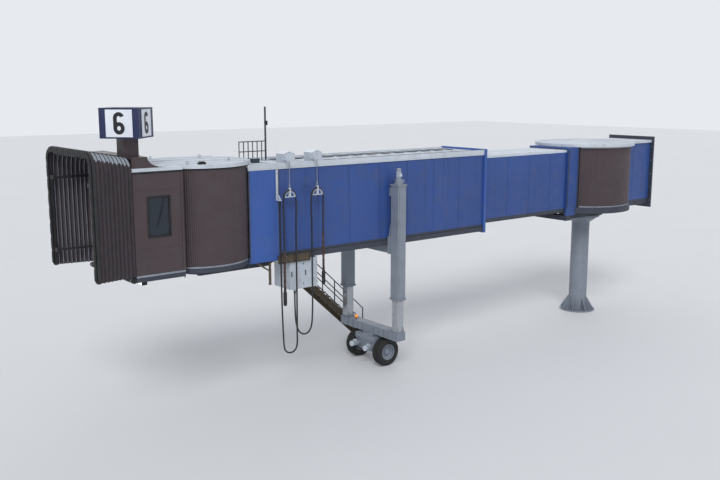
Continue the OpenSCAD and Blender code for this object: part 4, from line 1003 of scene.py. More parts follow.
# Shutter box, ceiling lamps and the operator's desk inside the cab
blocks("shutter_box", "equipment_grey", "cab",
       [((CAB_X1 - 0.42, -1.22, CEILING - 0.30), (CAB_X1 - 0.05, 1.22, CEILING - 0.004))], 0.01)
blocks("shutter_slats", "curtain_bronze", "cab",
       [((CAB_X1 - 0.24, -1.19, z + 0.004), (CAB_X1 - 0.22, 1.19, z + 0.05))
        for z in (CEILING - 0.30 - 0.05 * k for k in (1, 2, 3))], 0.004)
blocks("cab_ceiling_lamps", "white_light", "cab",
       [((CAB_X - 0.6, y - 0.07, CEILING - 0.03), (CAB_X + 0.6, y + 0.07, CEILING - 0.004))
        for y in (-0.55, 0.55)], 0.004, "equipment_grey")
desk = Shape()
DESK = Vector((CAB_X1 - 0.62, 0.72, FLOOR_Z))
desk.prism([DESK + Vector((x, 0, z))
            for x, z in ((0, 0.011), (0.30, 0.011), (0.30, 1.15), (0.22, 1.15), (0, 0.95))],
           (0, 0.50, 0))
desk.object("operator_desk", "equipment_grey", "cab", bevel=0.01)
controls = Shape()
slope = Vector((0.22, 0, 0.20)).normalized()
normal = Vector((-slope.z, 0, slope.x))
for i in range(3):
    for j in range(6):
        p = DESK + Vector((0, 0.07 + 0.07 * j, 0.95)) + slope * (0.06 + 0.09 * i)
        controls.spun([(0.001, 0), (0.014, 0), (0.014, 0.012), (0.001, 0.014)], p, normal, 12)
stick = DESK + Vector((0.05, 0.40, 1.0))
controls.tube([stick, stick + Vector((-0.01, 0, 0.11))], 0.007, 8)
controls.spun([(0.001, 0), (0.018, 0.005), (0.02, 0.02), (0.012, 0.04), (0.001, 0.042)],
              stick + Vector((-0.01, 0, 0.10)), UP, 12)
controls.object("desk_controls", "rubber_black", "cab")

# Under the cab: slewing ring bolts, flood lamps and the carrier's ribs
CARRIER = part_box("cab_carrier")
bolts("slewing_bolts", "outer_tunnel",
      [((CAB_X + x, y, CARRIER[1].z - 0.161), DOWN) for x, y in circle(0.83, 36)], 0.016, 0.014)
x, z = CAB_X1 - 0.30, CAB_BOTTOM
blocks("flood_lamps", "rubber_black", "cab",
       [corners for y in (-1.15, 1.15) for corners in (
           ((x - 0.10, y - 0.13, z - 0.14), (x + 0.06, y + 0.13, z - 0.03)),
           ((x - 0.03, y - 0.03, z - 0.03), (x + 0.03, y + 0.03, z)))], 0.006)
blocks("flood_lamp_glass", "white_light", "cab",
       [((x + 0.06, y - 0.11, z - 0.125), (x + 0.068, y + 0.11, z - 0.045)) for y in (-1.15, 1.15)], 0.002,
       "equipment_grey")
blocks("carrier_ribs", "frame_dark", "outer_tunnel",
       [((x, y + s * 0.091 - 0.001, CARRIER[0].z + 0.015),
         (x + 0.012, y + s * 0.13 + 0.001, CARRIER[1].z - 0.05))
        for y in (-0.56, 0.56) for s in (-1, 1)
        for x in (CARRIER[0].x + 0.75 + k * 0.42 for k in range(7))], 0.002)


# Sign: white panels with a plain numeral on each side
SIGN_C = Vector(((SIGN[0].x + SIGN[1].x) / 2, (SIGN[0].y + SIGN[1].y) / 2, 0))
SIGN_HALF = 0.55
SIGN_TURN = 46
SIGN_H = 0.81
SIGN_Z0 = SIGN[1].z - SIGN_H
PANEL_W, PANEL_H = 0.75, 0.74
NUMERAL_H, NUMERAL_W, NUMERAL_LINE = 0.58, 0.31, 0.105


def six(height, width, line, steps=36):
    """Middle lines of the numeral 6, its bowl and its back, for a stroke as wide as line."""
    a = (width - line) / 2
    b = height * 0.275 - line * 0.45
    low, high = -height / 2 + b + line * 0.45, height * 0.24
    arch = height / 2 - line * 0.45 - high
    bowl = [(a * c, low + b * s) for c, s in circle(1, steps)]
    back = [(-a, low + (high - low) * k / 6) for k in range(6)]
    back += [(a * c, high + arch * s) for c, s in circle(1, steps + 1, 180, -158 * (steps + 1) / steps)]
    return bowl, back


def stroke(shape, line, width, deep, place, closed=False):
    """A flat stroke of even width along a line in the panel's plane."""
    pts = [Vector((x, y)) for x, y in line]
    n = len(pts)
    rows = []
    for i, p in enumerate(pts):
        before = pts[i - 1] if i or closed else pts[0]
        after = pts[(i + 1) % n] if i < n - 1 or closed else pts[-1]
        along = (after - before).normalized()
        side = Vector((-along.y, along.x)) * width / 2
        rows.append([place(q.x, q.y, d)
                     for q, d in ((p + side, 0), (p - side, 0), (p - side, deep), (p + side, deep))])
    if closed:
        faces = [[i % (4 * n) for i in face] for face in quads(n + 1, 4, True)]
        shape.add([v for row in rows for v in row], faces)
    else:
        shape.sweep(rows)


sign_panels = Shape()
sign_digits = Shape()
sign_trim = Shape()
bowl, back = six(NUMERAL_H, NUMERAL_W, NUMERAL_LINE)
for out_x, out_y in circle(1, 4, SIGN_TURN):
    out = Vector((out_x, out_y, 0))
    right = Vector((-out_y, out_x, 0))
    mid = SIGN_C + out * SIGN_HALF + Vector((0, 0, SIGN_Z0 + SIGN_H / 2))

    def place(x, y, d, base=0.006):
        return mid + right * x + Vector((0, 0, y)) + out * (base + d)

    corners = [(x * PANEL_W / 2, y * PANEL_H / 2) for x, y in ((-1, -1), (1, -1), (1, 1), (-1, 1))]
    sign_panels.prism([place(x, y, -0.007) for x, y in corners], out * 0.007)
    for p, q in zip(corners, corners[1:] + corners[:1]):
        sign_trim.tube([place(*p, 0), place(*q, 0)], 0.007, 6)
    stroke(sign_digits, bowl, NUMERAL_LINE, 0.003, place, closed=True)
    stroke(sign_digits, back, NUMERAL_LINE, 0.0025, place)
sign_panels.object("sign_panels", "sign_white", "cab", "sign_box", bevel=0.002)
sign_digits.object("sign_numerals", "numeral", "cab", "rubber_black")
sign_trim.object("sign_panel_rims", "sign_box", "cab")
cap = Shape()
lid = [SIGN_C + Vector((x, y, SIGN[1].z - 0.014))
       for x, y in circle(SIGN_HALF * 1.414 + 0.006, 4, SIGN_TURN + 45)]
cap.prism(lid, (0, 0, 0.012))
cap.prism([p - Vector((0, 0, SIGN_H - 0.026)) for p in lid], (0, 0, -0.010))
cap.object("sign_caps", "sign_box", "cab", bevel=0.002)
pedestal = Shape()
x, y, z = SIGN_C.x, SIGN_C.y, HOOD_Z1
pedestal.block((x - 0.224, y - 0.28, z - 0.001), (x + 0.224, y + 0.28, z + 0.014))
for dx in (-0.16, 0, 0.16):
    for dy in (-0.25, 0.25):
        pedestal.bolt((x + dx, y + dy, z + 0.014), UP, 0.012, 0.012)
pedestal.block((x - 0.219, y - 0.219, z + 0.013), (x + 0.219, y + 0.219, SIGN_Z0 - 0.002))
pedestal.object("sign_pedestal", "curtain_bronze", "cab", bevel=0.003)


# Cable hoists: doors, pulleys, ropes and saddle liners
for name, hx, width in (("front", SADDLE_X[0], 0.42), ("rear", SADDLE_X[1], 0.40)):
    bx = hx - 0.21
    top = ROOF[1].z - 0.04
    y0, y1 = WALL_Y - 0.42, WALL_Y - 0.01
    cover = Shape()
    for s in (-1, 1):
        outline = [(bx + s * (width / 2 + 0.012), top + 0.285), (bx + s * (width / 2 + 0.012), top + 0.298),
                   (bx, top + 0.372), (bx, top + 0.361)]
        cover.prism([(x, y0 - 0.012, z) for x, z in outline], (0, y1 - y0 + 0.024, 0))
    cover.object(name + "_hoist_cover", "sign_white", "outer_tunnel", "equipment_grey", bevel=0.002)
    doors = Shape()
    doors.block((bx - width / 2 + 0.03, y1 - 0.001, top + 0.03),
                (bx + width / 2 - 0.03, y1 + 0.006, top + 0.24))
    for k in range(5):
        z = top + 0.07 + k * 0.03
        doors.block((bx - width / 2 - 0.006, y0 + 0.08, z), (bx - width / 2 + 0.001, y1 - 0.08, z + 0.012))
        doors.block((bx + width / 2 - 0.001, y0 + 0.08, z), (bx + width / 2 + 0.006, y1 - 0.08, z + 0.012))
    for z in (top + 0.06, top + 0.21):
        doors.disc((bx - width / 2 + 0.03, y1 + 0.008, z), UP, 0.007, -0.02, 0.02, 8)
    doors.object(name + "_hoist_doors", "equipment_grey", "outer_tunnel", bevel=0.002)
    knob = Shape()
    knob.disc((bx + width / 2 - 0.06, y1 + 0.006, top + 0.13), (0, 1, 0), 0.014, 0, 0.012, 12)
    knob.block((bx + width / 2 - 0.066, y1 + 0.012, top + 0.10),
               (bx + width / 2 - 0.054, y1 + 0.022, top + 0.16))
    knob.object(name + "_hoist_latch", "rubber_black", "outer_tunnel", bevel=0.001)
    pulley = Shape()
    arm_z = top + 0.15
    y = CABLE_Y
    pulley.spun([(0.014, -0.018), (0.075, -0.018), (0.075, -0.012), (0.062, -0.004), (0.062, 0.004),
                 (0.075, 0.012), (0.075, 0.018), (0.014, 0.018)], (hx + 0.045, y, arm_z), (0, 1, 0), 28)
    for s in (-1, 1):
        pulley.prism([(hx - 0.035, y + s * 0.026, arm_z - 0.04), (hx + 0.085, y + s * 0.026, arm_z - 0.05),
                      (hx + 0.105, y + s * 0.026, arm_z), (hx + 0.085, y + s * 0.026, arm_z + 0.05),
                      (hx - 0.035, y + s * 0.026, arm_z + 0.04)], (0, s * 0.006, 0))
    pulley.tube([(hx + 0.045, y - 0.04, arm_z), (hx + 0.045, y + 0.04, arm_z)], 0.012, 10)
    pulley.object(name + "_hoist_pulley", "equipment_grey", "outer_tunnel")
    brace = Shape()
    brace.tube([(hx, y1 - 0.01, top + 0.27), (hx, CABLE_Y - 0.05, arm_z + 0.045)], 0.012, 8)
    brace.block((hx - 0.05, y1 - 0.006, arm_z - 0.07), (hx + 0.05, y1 + 0.004, arm_z + 0.13))
    for dx in (-0.035, 0.035):
        for z in (arm_z - 0.05, arm_z + 0.11):
            brace.bolt((hx + dx, y1 + 0.004, z), (0, 1, 0), 0.008, 0.008)
    brace.object(name + "_hoist_brace", "equipment_grey", "outer_tunnel", bevel=0.001)
    hook = Shape()
    shackle = SADDLE_Z + SADDLE_R + CABLE_D + 0.02
    hook.tube([(hx, CABLE_Y, arm_z - 0.03), (hx, CABLE_Y, shackle + 0.06)], 0.0105, 8)
    hook.spun([(0.001, 0), (0.022, 0.01), (0.028, 0.05), (0.018, 0.10), (0.001, 0.11)],
              (hx, CABLE_Y, shackle + 0.02), UP, 16)
    ring = [(hx, CABLE_Y + 0.026 * math.cos(a), shackle + 0.012 + 0.026 * math.sin(a))
            for a in (2 * math.pi * k / 16 for k in range(16))]
    hook.tube(ring, 0.007, 8, closed=True)
    hook.object(name + "_hoist_hook", "steel_grey", "outer_tunnel")
    trough = Shape()
    inside = SADDLE_R - CABLE_D / 2 - 0.006
    count = 24
    sections = []
    for k in range(count + 1):
        a = math.pi * k / count
        radial = Vector((math.cos(a), 0, math.sin(a)))
        centre = Vector((hx, CABLE_Y, SADDLE_Z))
        sections.append([centre + radial * (inside + rise) + Vector((0, y, 0))
                         for y, rise in ((-0.034, 0.016), (-0.030, 0.0), (0.030, 0.0), (0.034, 0.016),
                                         (0.037, 0.014), (0.033, -0.006), (-0.033, -0.006),
                                         (-0.037, 0.014))])
    verts = [v for s in sections for v in s]
    faces = [(k * 8 + m, k * 8 + (m + 1) % 8, (k + 1) * 8 + (m + 1) % 8, (k + 1) * 8 + m)
             for k in range(count) for m in range(8)]
    faces += [tuple(range(8)), tuple(count * 8 + m for m in range(7, -1, -1))]
    trough.add(verts, faces)
    trough.object(name + "_saddle_trough", "steel_grey", "outer_tunnel")
    clips = Shape()
    for deg in (25, 155):
        a = math.radians(deg)
        c = Vector((hx + SADDLE_R * math.cos(a), CABLE_Y, SADDLE_Z + SADDLE_R * math.sin(a)))
        along = Vector((-math.sin(a), 0, math.cos(a)))
        clips.spun([(0.0265, -0.012), (0.030, -0.012), (0.030, 0.012), (0.0265, 0.012)], c, along, 20,
                   ring=True)
    clips.object(name + "_saddle_straps", "rubber_black", "outer_tunnel")

# Roof rail: feet, and a lamp on the mast
RAIL_X = ROOF[1].x - 1.39
MAST_X = RAIL_X - 0.15
feet = Shape()
y = -0.30
for k in range(6):
    x = RAIL_X + 0.165 * k
    feet.spun([(0.001, 0), (0.038, 0), (0.038, 0.008), (0.018, 0.02), (0.001, 0.02)],
              (x, y, ROOF[1].z - 0.04), UP, 16)
feet.spun([(0.001, 0), (0.07, 0), (0.07, 0.012), (0.035, 0.03), (0.001, 0.03)],
          (MAST_X, y, ROOF[1].z - 0.04), UP, 20)
feet.object("roof_rail_feet", "galvanised", "outer_tunnel")
mast_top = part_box("roof_fittings")[1].z
mast_cap = Shape()
mast_cap.disc((MAST_X, y, mast_top), UP, 0.034, -0.012, 0.0, 16)
mast_cap.spun([(0.0305, -0.02), (0.036, -0.02), (0.036, 0.02), (0.0305, 0.02)], (MAST_X, y, mast_top - 0.5),
              UP, 16, ring=True)
mast_cap.block((MAST_X - 0.07, y - 0.035, mast_top - 0.58), (MAST_X - 0.032, y + 0.035, mast_top - 0.44))
mast_cap.object("mast_fittings", "rubber_black", "outer_tunnel")

# Hook plate bolts for the front cable
hx, hy, hz = front_points[0]
bolts("hook_plate_bolts", "outer_tunnel",
      [((hx + dx, ROOF[1].y + 0.012, z), (0, 1, 0)) for z in (hz + 0.82, hz + 0.94)
       for dx in (-0.025, 0.025)], 0.009, 0.008)
clamp = Shape()
clamp.spun([(0.0265, -0.14), (0.034, -0.135), (0.036, -0.02), (0.042, -0.015), (0.042, -0.001),
            (0.0265, -0.001)],
           (hx, hy, hz), UP, 24)
gx, gy, gz = rear_points[0]
clamp.spun([(0.0265, -0.10), (0.034, -0.095), (0.036, -0.02), (0.046, -0.015), (0.046, 0.0), (0.0265, 0.0)],
           (gx, gy, gz), UP, 24)
clamp.object("cable_glands", "rubber_black", "outer_tunnel")

# Power cabinet: doors, handles, hinges and louvres
cx0, cx1 = CABINET[0].x, CABINET[1].x
cy0, cy1 = CABINET[0].y, CABINET[1].y
cz0 = CABINET[0].z + 0.06
cz1 = OUTER[0].z + 0.02 - 0.06
shell = Shape()
leaf = (cx1 - cx0) / 2
for mirror, y in ((1, cy1), (-1, cy0)):
    for k in range(2):
        a, b = cx0 + k * leaf + 0.012, cx0 + (k + 1) * leaf - 0.012
        shell.block((a, y, cz0 + 0.04), (b, y + mirror * 0.008, cz1 - 0.05))
shell.block((cx0 - 0.008, cy0 + 0.05, cz0 + 0.04), (cx0, cy1 - 0.05, cz1 - 0.05))
shell.block((cx1, cy0 + 0.05, cz0 + 0.04), (cx1 + 0.008, cy1 - 0.05, cz1 - 0.05))
shell.object("cabinet_doors", "equipment_grey", "outer_tunnel", bevel=0.004)
vents = Shape()
for k in range(2):
    a = cx0 + k * leaf + 0.09
    for j in range(7):
        z = cz0 + 0.12 + j * 0.035
        vents.prism([(a, cy1 + 0.008, z), (a, cy1 + 0.020, z + 0.002), (a, cy1 + 0.008, z + 0.022)],
                    (leaf - 0.18, 0, 0))
        vents.prism([(a, cy0 - 0.008, z), (a, cy0 - 0.020, z + 0.002), (a, cy0 - 0.008, z + 0.022)],
                    (leaf - 0.18, 0, 0))
vents.object("cabinet_louvres", "equipment_grey", "outer_tunnel", smooth=False)
handles = Shape()
for k in range(2):
    x = cx0 + (k + 1) * leaf - 0.06
    for mirror, y in ((1, cy1 + 0.008), (-1, cy0 - 0.008)):
        handles.block((x - 0.012, y, cz0 + 0.42), (x + 0.012, y + mirror * 0.022, cz0 + 0.56))
        handles.disc((x, y, cz0 + 0.57), (0, mirror, 0), 0.018, 0, 0.010, 14)
    for z in (cz0 + 0.15, cz1 - 0.16):
        hinge_x = cx0 + k * leaf + 0.022
        handles.disc((hinge_x, cy1 + 0.012, z), UP, 0.009, -0.03, 0.03, 10)
handles.object("cabinet_handles", "rubber_black", "outer_tunnel", bevel=0.002)

# Service door: frame, hinges, lever and glass
door = Shape()
y = -WALL_Y
x0, x1 = DOOR[0].x - 0.003, DOOR[1].x + 0.003
z0, z1 = OUTER[1].z, DOOR[1].z + 0.003
for a, b, c, d in ((x0 - 0.06, x0, z0, z1 + 0.06), (x1, x1 + 0.06, z0, z1 + 0.06), (x0, x1, z1, z1 + 0.06)):
    door.block((a, y - 0.014, c), (b, y, d))
    door.block((a, y + 0.07, c), (b, y + 0.086, d))
door.object("service_door_frame", "frame_dark", "outer_tunnel", bevel=0.003)
hardware = Shape()
for z in (z0 + 0.25, z0 + 1.05, z0 + 1.80):
    hardware.disc((x1 + 0.002, y - 0.012, z), UP, 0.011, -0.05, 0.05, 10)
hardware.tube([(x0 + 0.075, y - 0.035, z0 + 1.03), (x0 + 0.075, y - 0.055, z0 + 1.03),
               (x0 + 0.19, y - 0.055, z0 + 1.03)], 0.009, 8)
hardware.tube([(x0 + 0.5, y - 0.002, z1 - 0.10), (x0 + 0.42, y - 0.06, z1 + 0.02),
               (x0 + 0.5, y - 0.02, z1 + 0.03)], 0.008, 6)
hardware.object("service_door_hardware", "rubber_black", "outer_tunnel")
gx0, gx1, gz0, gz1 = DOOR[0].x + 0.23, DOOR[1].x - 0.23, z0 + 1.15, z0 + 1.80
blocks("service_door_glass", "glass", "outer_tunnel", [((gx0, y + 0.028, gz0), (gx1, y + 0.036, gz1))])
blocks("service_door_bead", "rubber_black", "outer_tunnel",
       [((a, y + 0.002, c), (b, y + 0.012, d))
        for a, b, c, d in ((gx0 - 0.03, gx1 + 0.03, gz0 - 0.03, gz0),
                           (gx0 - 0.03, gx1 + 0.03, gz1, gz1 + 0.03), (gx0 - 0.03, gx0, gz0, gz1),
                           (gx1, gx1 + 0.03, gz0, gz1))], 0.002)
lamp_body = Shape()
lx = (x0 + x1) / 2
lamp_body.spun([(0.001, 0), (0.10, 0), (0.10, 0.03), (0.085, 0.045), (0.001, 0.045)], (lx, y, z1 + 0.22),
               (0, -1, 0), 24)
lamp_body.object("door_lamp_base", "galvanised", "outer_tunnel")
lens = Shape()
lens.spun([(0.001, 0.045), (0.078, 0.045), (0.070, 0.075), (0.04, 0.095), (0.001, 0.10)],
          (lx, y, z1 + 0.22), (0, -1, 0), 24)
lens.object("door_lamp_lens", "white_light", "outer_tunnel", "equipment_grey")

# Landing and stairs: grating, treads' edges, kick plates and wheels
LX0, LX1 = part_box("landing_rails")[0].x - 0.005, LANDING[1].x
LY0, LY1 = LANDING[0].y, -WALL_Y - 0.04
LZ = LANDING[1].z
grating = Shape()
for k in range(int((LX1 - LX0 - 0.04) / 0.034)):
    x = LX0 + 0.02 + 0.034 * k
    grating.block((x, LY0 + 0.02, LZ - 0.001), (x + 0.005, LY1 - 0.02, LZ + 0.012))
for k in range(13):
    y = LY0 + 0.05 + k * (LY1 - LY0 - 0.1) / 12
    grating.block((LX0 + 0.02, y - 0.003, LZ), (LX1 - 0.02, y + 0.003, LZ + 0.009))
grating.object("landing_grating", "galvanised", "outer_tunnel", smooth=False)
blocks("landing_kick_plates", "stair_olive", "outer_tunnel",
       [((LX0, LY0, LZ), (LX1, LY0 + 0.006, LZ + 0.11)),
        ((LX1 - 0.006, LY0 + 0.006, LZ), (LX1, LY1 - 0.01, LZ + 0.11))], 0.001)
blocks("landing_rail_feet", "galvanised", "outer_tunnel",
       [((x - 0.035, y - 0.024, LZ + 0.001), (x + 0.027, y + 0.04, LZ + 0.012))
        for x, y in ((LX0 + 0.03, LY0 + 0.03), ((LX0 + LX1) / 2, LY0 + 0.03), (LX1 - 0.03, LY0 + 0.03))],
       0.002)

STAIR_SLOPE = math.radians(43)
STAIR_TOP = Vector((15.2, 0, 4.56))
STEP_RISE = 0.19
STEPS = int((STAIR_TOP.z - 0.11) / STEP_RISE)
SY0, SY1 = STAIRS[0].y + 0.05, STAIRS[1].y - 0.05
treads = Shape()
nosing = Shape()
for i in range(1, STEPS):
    z = STAIR_TOP.z - i * STEP_RISE
    x = STAIR_TOP.x - i * STEP_RISE / math.tan(STAIR_SLOPE)
    for k in range(8):
        a = x - 0.222 + 0.026 * k
        treads.block((a, SY0 + 0.006, z), (a + 0.005, SY1 - 0.006, z + 0.008))
    for k in range(9):
        y = SY0 + 0.02 + k * (SY1 - SY0 - 0.04) / 8
        treads.block((x - 0.225, y - 0.0025, z), (x - 0.03, y + 0.0025, z + 0.006))
    nosing.block((x - 0.026, SY0 + 0.004, z), (x + 0.004, SY1 - 0.004, z + 0.010))
    nosing.block((x, SY0 + 0.004, z - 0.035), (x + 0.004, SY1 - 0.004, z))
treads.object("stair_gratings", "galvanised", "stair_flight", smooth=False)
nosing.object("stair_nosings", "stair_olive", "stair_flight", bevel=0.001)
foot_x = STAIR_TOP.x - (LANDING[1].z - 0.11) / math.tan(STAIR_SLOPE)
stair_wheels = Shape()
for y in (SY0 + 0.002, SY1 - 0.062):
    stair_wheels.spun([(0.02, 0.002), (0.105, 0.002), (0.1102, 0.012), (0.1102, 0.048), (0.105, 0.058),
                       (0.02, 0.058)],
                      (foot_x, y, 0.1105), (0, 1, 0), 32)
stair_wheels.object("stair_wheel_tyres", "tyre", "stair_flight")
string_bolts = Shape()
along = Vector((-math.cos(STAIR_SLOPE), 0, -math.sin(STAIR_SLOPE)))
for mirror, y in ((-1, STAIRS[0].y), (1, STAIRS[1].y)):
    for i in range(1, STEPS):
        z = STAIR_TOP.z - i * STEP_RISE - 0.02
        x = STAIR_TOP.x - i * STEP_RISE / math.tan(STAIR_SLOPE)
        for dx in (-0.19, -0.06):
            string_bolts.bolt((x + dx, y, z), (0, mirror, 0), 0.009, 0.008)
string_bolts.object("stringer_bolts", "galvanised", "stair_flight")


# Lift legs: flanges, motors with screws, guide pads, brackets, a conduit and the lower legs' feet
LEG_X = (UPPER_LEGS[0].x + UPPER_LEGS[1].x) / 2
LEG_Y = 1.4
LEG_TOP = WALL[1].z - 0.8
for side, mirror in SIDES:
    y = mirror * LEG_Y
    can = Shape()
    gear_top = LEG_TOP + 0.18
    for k in range(20):
        a = 2 * math.pi * k / 20
        c, s = math.cos(a), math.sin(a)
        can.tube([(LEG_X + 0.076 * c, y + 0.076 * s, gear_top + 0.03),
                  (LEG_X + 0.076 * c, y + 0.076 * s, gear_top + 0.265)], 0.005, 5)
    can.block((LEG_X - 0.05, y + mirror * 0.09 - 0.03, gear_top + 0.08),
              (LEG_X + 0.05, y + mirror * 0.09 + 0.03, gear_top + 0.17))
    can.spun([(0.001, 0), (0.07, 0), (0.062, 0.012), (0.001, 0.014)], (LEG_X, y, gear_top + 0.329), UP, 24)
    can.object("lift_motor_fins_" + side, "equipment_grey", "outer_tunnel", bevel=0.002)
    gear_bolts = Shape()
    for k in range(8):
        a = 2 * math.pi * (k + 0.5) / 8
        gear_bolts.bolt((LEG_X + 0.134 * math.cos(a), y + 0.134 * math.sin(a), LEG_TOP + 0.034), UP, 0.008,
                        0.008)
    for dy in (-0.07, 0.07):
        for dz in (0.07, 0.13):
            gear_bolts.bolt((LEG_X - 0.164, y + dy, LEG_TOP + dz), (-1, 0, 0), 0.008, 0.007)
    gear_bolts.object("lift_gear_bolts_" + side, "galvanised", "outer_tunnel")
    leg_bolts = Shape()
    for z in (UPPER_LEGS[0].z + 0.06, LEG_TOP):
        for dx in (-0.19, -0.06, 0.06, 0.19):
            for dy in (-0.193, 0.193):
                leg_bolts.bolt((LEG_X + dx, y + dy, z), UP, 0.009, 0.010)
                leg_bolts.bolt((LEG_X + dy, y + dx, z), UP, 0.009, 0.010)
    leg_bolts.object("leg_bolts_" + side, "galvanised", "outer_tunnel")
    wipers = Shape()
    for s in (-1, 1):
        wipers.block((LEG_X - 0.178, y + s * 0.158 - 0.020, UPPER_LEGS[0].z - 0.02),
                     (LEG_X + 0.178, y + s * 0.158 + 0.020, UPPER_LEGS[0].z))
        wipers.block((LEG_X + s * 0.158 - 0.020, y - 0.138, UPPER_LEGS[0].z - 0.02),
                     (LEG_X + s * 0.158 + 0.020, y + 0.138, UPPER_LEGS[0].z))
    wipers.object("leg_wipers_" + side, "rubber_black", "outer_tunnel", bevel=0.003)
    plates = Shape()
    wall = mirror * (WALL_Y + 0.04)
    for s in (-1, 1):
        x = LEG_X + s * 0.20
        out = mirror * (LEG_Y - 0.18)
        plates.prism([(x - 0.006, wall, OUTER[0].z - 0.30), (x - 0.006, out, OUTER[0].z - 0.30),
                      (x - 0.006, out, OUTER[0].z + 0.75), (x - 0.006, wall, OUTER[0].z + 0.32)],
                     (0.012, 0, 0))
    plates.object("leg_brackets_" + side, "steel_grey", "outer_tunnel", bevel=0.002)
    conduit = Shape()
    inner_face = mirror * (LEG_Y + 0.185)
    conduit.tube([(LEG_X + 0.1, inner_face, LEG_TOP - 0.1),
                  (LEG_X + 0.1, inner_face, UPPER_LEGS[0].z + 0.25)], 0.016, 8)
    for z in (LEG_TOP - 0.4, LEG_TOP - 1.4, LEG_TOP - 2.4, LEG_TOP - 3.3):
        conduit.block((LEG_X + 0.07, inner_face - 0.004, z),
                      (LEG_X + 0.13, inner_face + mirror * 0.018, z + 0.03))
    conduit.object("leg_conduit_" + side, "galvanised", "outer_tunnel")
    ladder = Shape()
    lower_top = CARRIAGE[1].z
    ladder.block((LEG_X - 0.165, y - 0.165, lower_top - 0.001),
                 (LEG_X + 0.165, y + 0.165, lower_top + 0.02))
    for dx in (-0.13, 0.13):
        for s in (-1, 1):
            ladder.prism([(LEG_X + dx - 0.008, y + s * 0.138, lower_top + 0.02),
                          (LEG_X + dx - 0.008, y + s * 0.185, lower_top + 0.02),
                          (LEG_X + dx - 0.008, y + s * 0.138, lower_top + 0.20)], (0.016, 0, 0))
    ladder.object("lower_leg_feet_" + side, "steel_grey", "lift_carriage", bevel=0.002)

# Bogie: rims, hubs, lugs, drive motors and the tyres' tread
AXLE_Z, TRACK = 0.5, 1.5
DRIVE_X = LEG_X
for side, mirror in SIDES:
    y = mirror * TRACK / 2
    tyre = Shape()
    profile = [(0.262, -0.150), (0.30, -0.164), (0.34, -0.169), (0.345, -0.1715), (0.352, -0.1715),
               (0.357, -0.170), (0.42, -0.168), (0.448, -0.158), (0.472, -0.142), (0.486, -0.118),
               (0.495, -0.09)]
    for g in range(5):
        c = -0.075 + 0.0375 * g
        profile += [(0.498, c - 0.014), (0.499, c - 0.010), (0.499, c + 0.010), (0.498, c + 0.014),
                    (0.486, c + 0.0165), (0.486, c + 0.021)]
    profile += [(0.495, 0.112), (0.486, 0.118), (0.472, 0.142), (0.448, 0.158), (0.42, 0.168),
                (0.357, 0.170), (0.352, 0.1715), (0.345, 0.1715), (0.34, 0.169), (0.30, 0.164),
                (0.262, 0.150), (0.255, 0.13), (0.255, -0.13)]
    tyre.spun(profile, (DRIVE_X, y, AXLE_Z), (0, 1, 0), 72, ring=True)
    for k in range(48):
        for s in (-1, 1):
            block = [(0.436, s * 0.160), (0.442, s * 0.167), (0.452, s * 0.163), (0.478, s * 0.146),
                     (0.493, s * 0.121), (0.493, s * 0.114), (0.470, s * 0.120)]
            tyre.spun(block, (DRIVE_X, y, AXLE_Z), (0, 1, 0), 2, ring=True, span=(7.5 * k, 7.5 * k + 5.2))
    obj = tyre.object("tyre_" + side, "tyre", "lift_carriage")
    if mirror == 1:
        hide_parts("tyres")
    rim = Shape()
    for s in (-1, 1):
        rim.spun([(0.244, s * 0.148), (0.262, s * 0.152), (0.272, s * 0.166), (0.281, s * 0.163),
                  (0.270, s * 0.145), (0.262, s * 0.130), (0.246, s * 0.110)], (DRIVE_X, y, AXLE_Z),
                 (0, 1, 0), 64, ring=True)
    rim.object("wheel_rim_lips_" + side, "steel_grey", "lift_carriage")
    studs = Shape()
    for k in range(10):
        a = math.radians(18 + 36 * k)
        studs.spun([(0.001, 0), (0.008, 0), (0.007, 0.011), (0.001, 0.012)],
                   (DRIVE_X + 0.145 * math.cos(a), y + mirror * 0.066, AXLE_Z + 0.145 * math.sin(a)),
                   (0, mirror, 0), 10)
    for k in range(6):
        a = math.pi * k / 3
        studs.bolt((DRIVE_X + 0.07 * math.cos(a), y + mirror * 0.108, AXLE_Z + 0.07 * math.sin(a)),
                   (0, mirror, 0), 0.009, 0.008)
    studs.object("wheel_studs_" + side, "galvanised", "lift_carriage")
    drive = Shape()
    inner, motor_z = mirror * 0.378, AXLE_Z + 0.13
    for k in range(18):
        a = 2 * math.pi * k / 18
        drive.tube([(DRIVE_X + 0.38, inner + 0.090 * math.cos(a), motor_z + 0.090 * math.sin(a)),
                    (DRIVE_X + 0.59, inner + 0.090 * math.cos(a), motor_z + 0.090 * math.sin(a))], 0.005, 5)
    drive.spun([(0.088, 0), (0.099, 0), (0.099, 0.05), (0.085, 0.068), (0.001, 0.070)],
               (DRIVE_X + 0.598, inner, motor_z), (1, 0, 0), 32)
    drive.block((DRIVE_X + 0.44, inner - 0.05, motor_z + 0.085),
                (DRIVE_X + 0.54, inner + 0.05, motor_z + 0.135))
    drive.object("drive_motor_fins_" + side, "equipment_grey", "lift_carriage", bevel=0.002)
slew_bolts = Shape()
for k in range(24):
    a = 2 * math.pi * k / 24
    slew_bolts.bolt((DRIVE_X + 0.30 * math.cos(a), 0.30 * math.sin(a), CARRIAGE[0].z), UP, 0.012,
                    0.010)
slew_bolts.object("bogie_ring_bolts", "galvanised", "lift_carriage")
beam_trim = Shape()
for mirror in (1, -1):
    for s in (-1, 1):
        for k in range(4):
            yy = mirror * (0.30 + 0.28 * k)
            x = DRIVE_X + s * 0.19
            beam_trim.block((x, yy - 0.006, CARRIAGE[1].z - 0.285),
                            (x + s * 0.035, yy + 0.006, CARRIAGE[1].z - 0.015))
beam_trim.object("carriage_ribs", "steel_grey", "lift_carriage", bevel=0.002)
lamp = Shape()
lamp.disc((DRIVE_X, -0.9, CARRIAGE[1].z), UP, 0.06, 0, 0.03, 20)
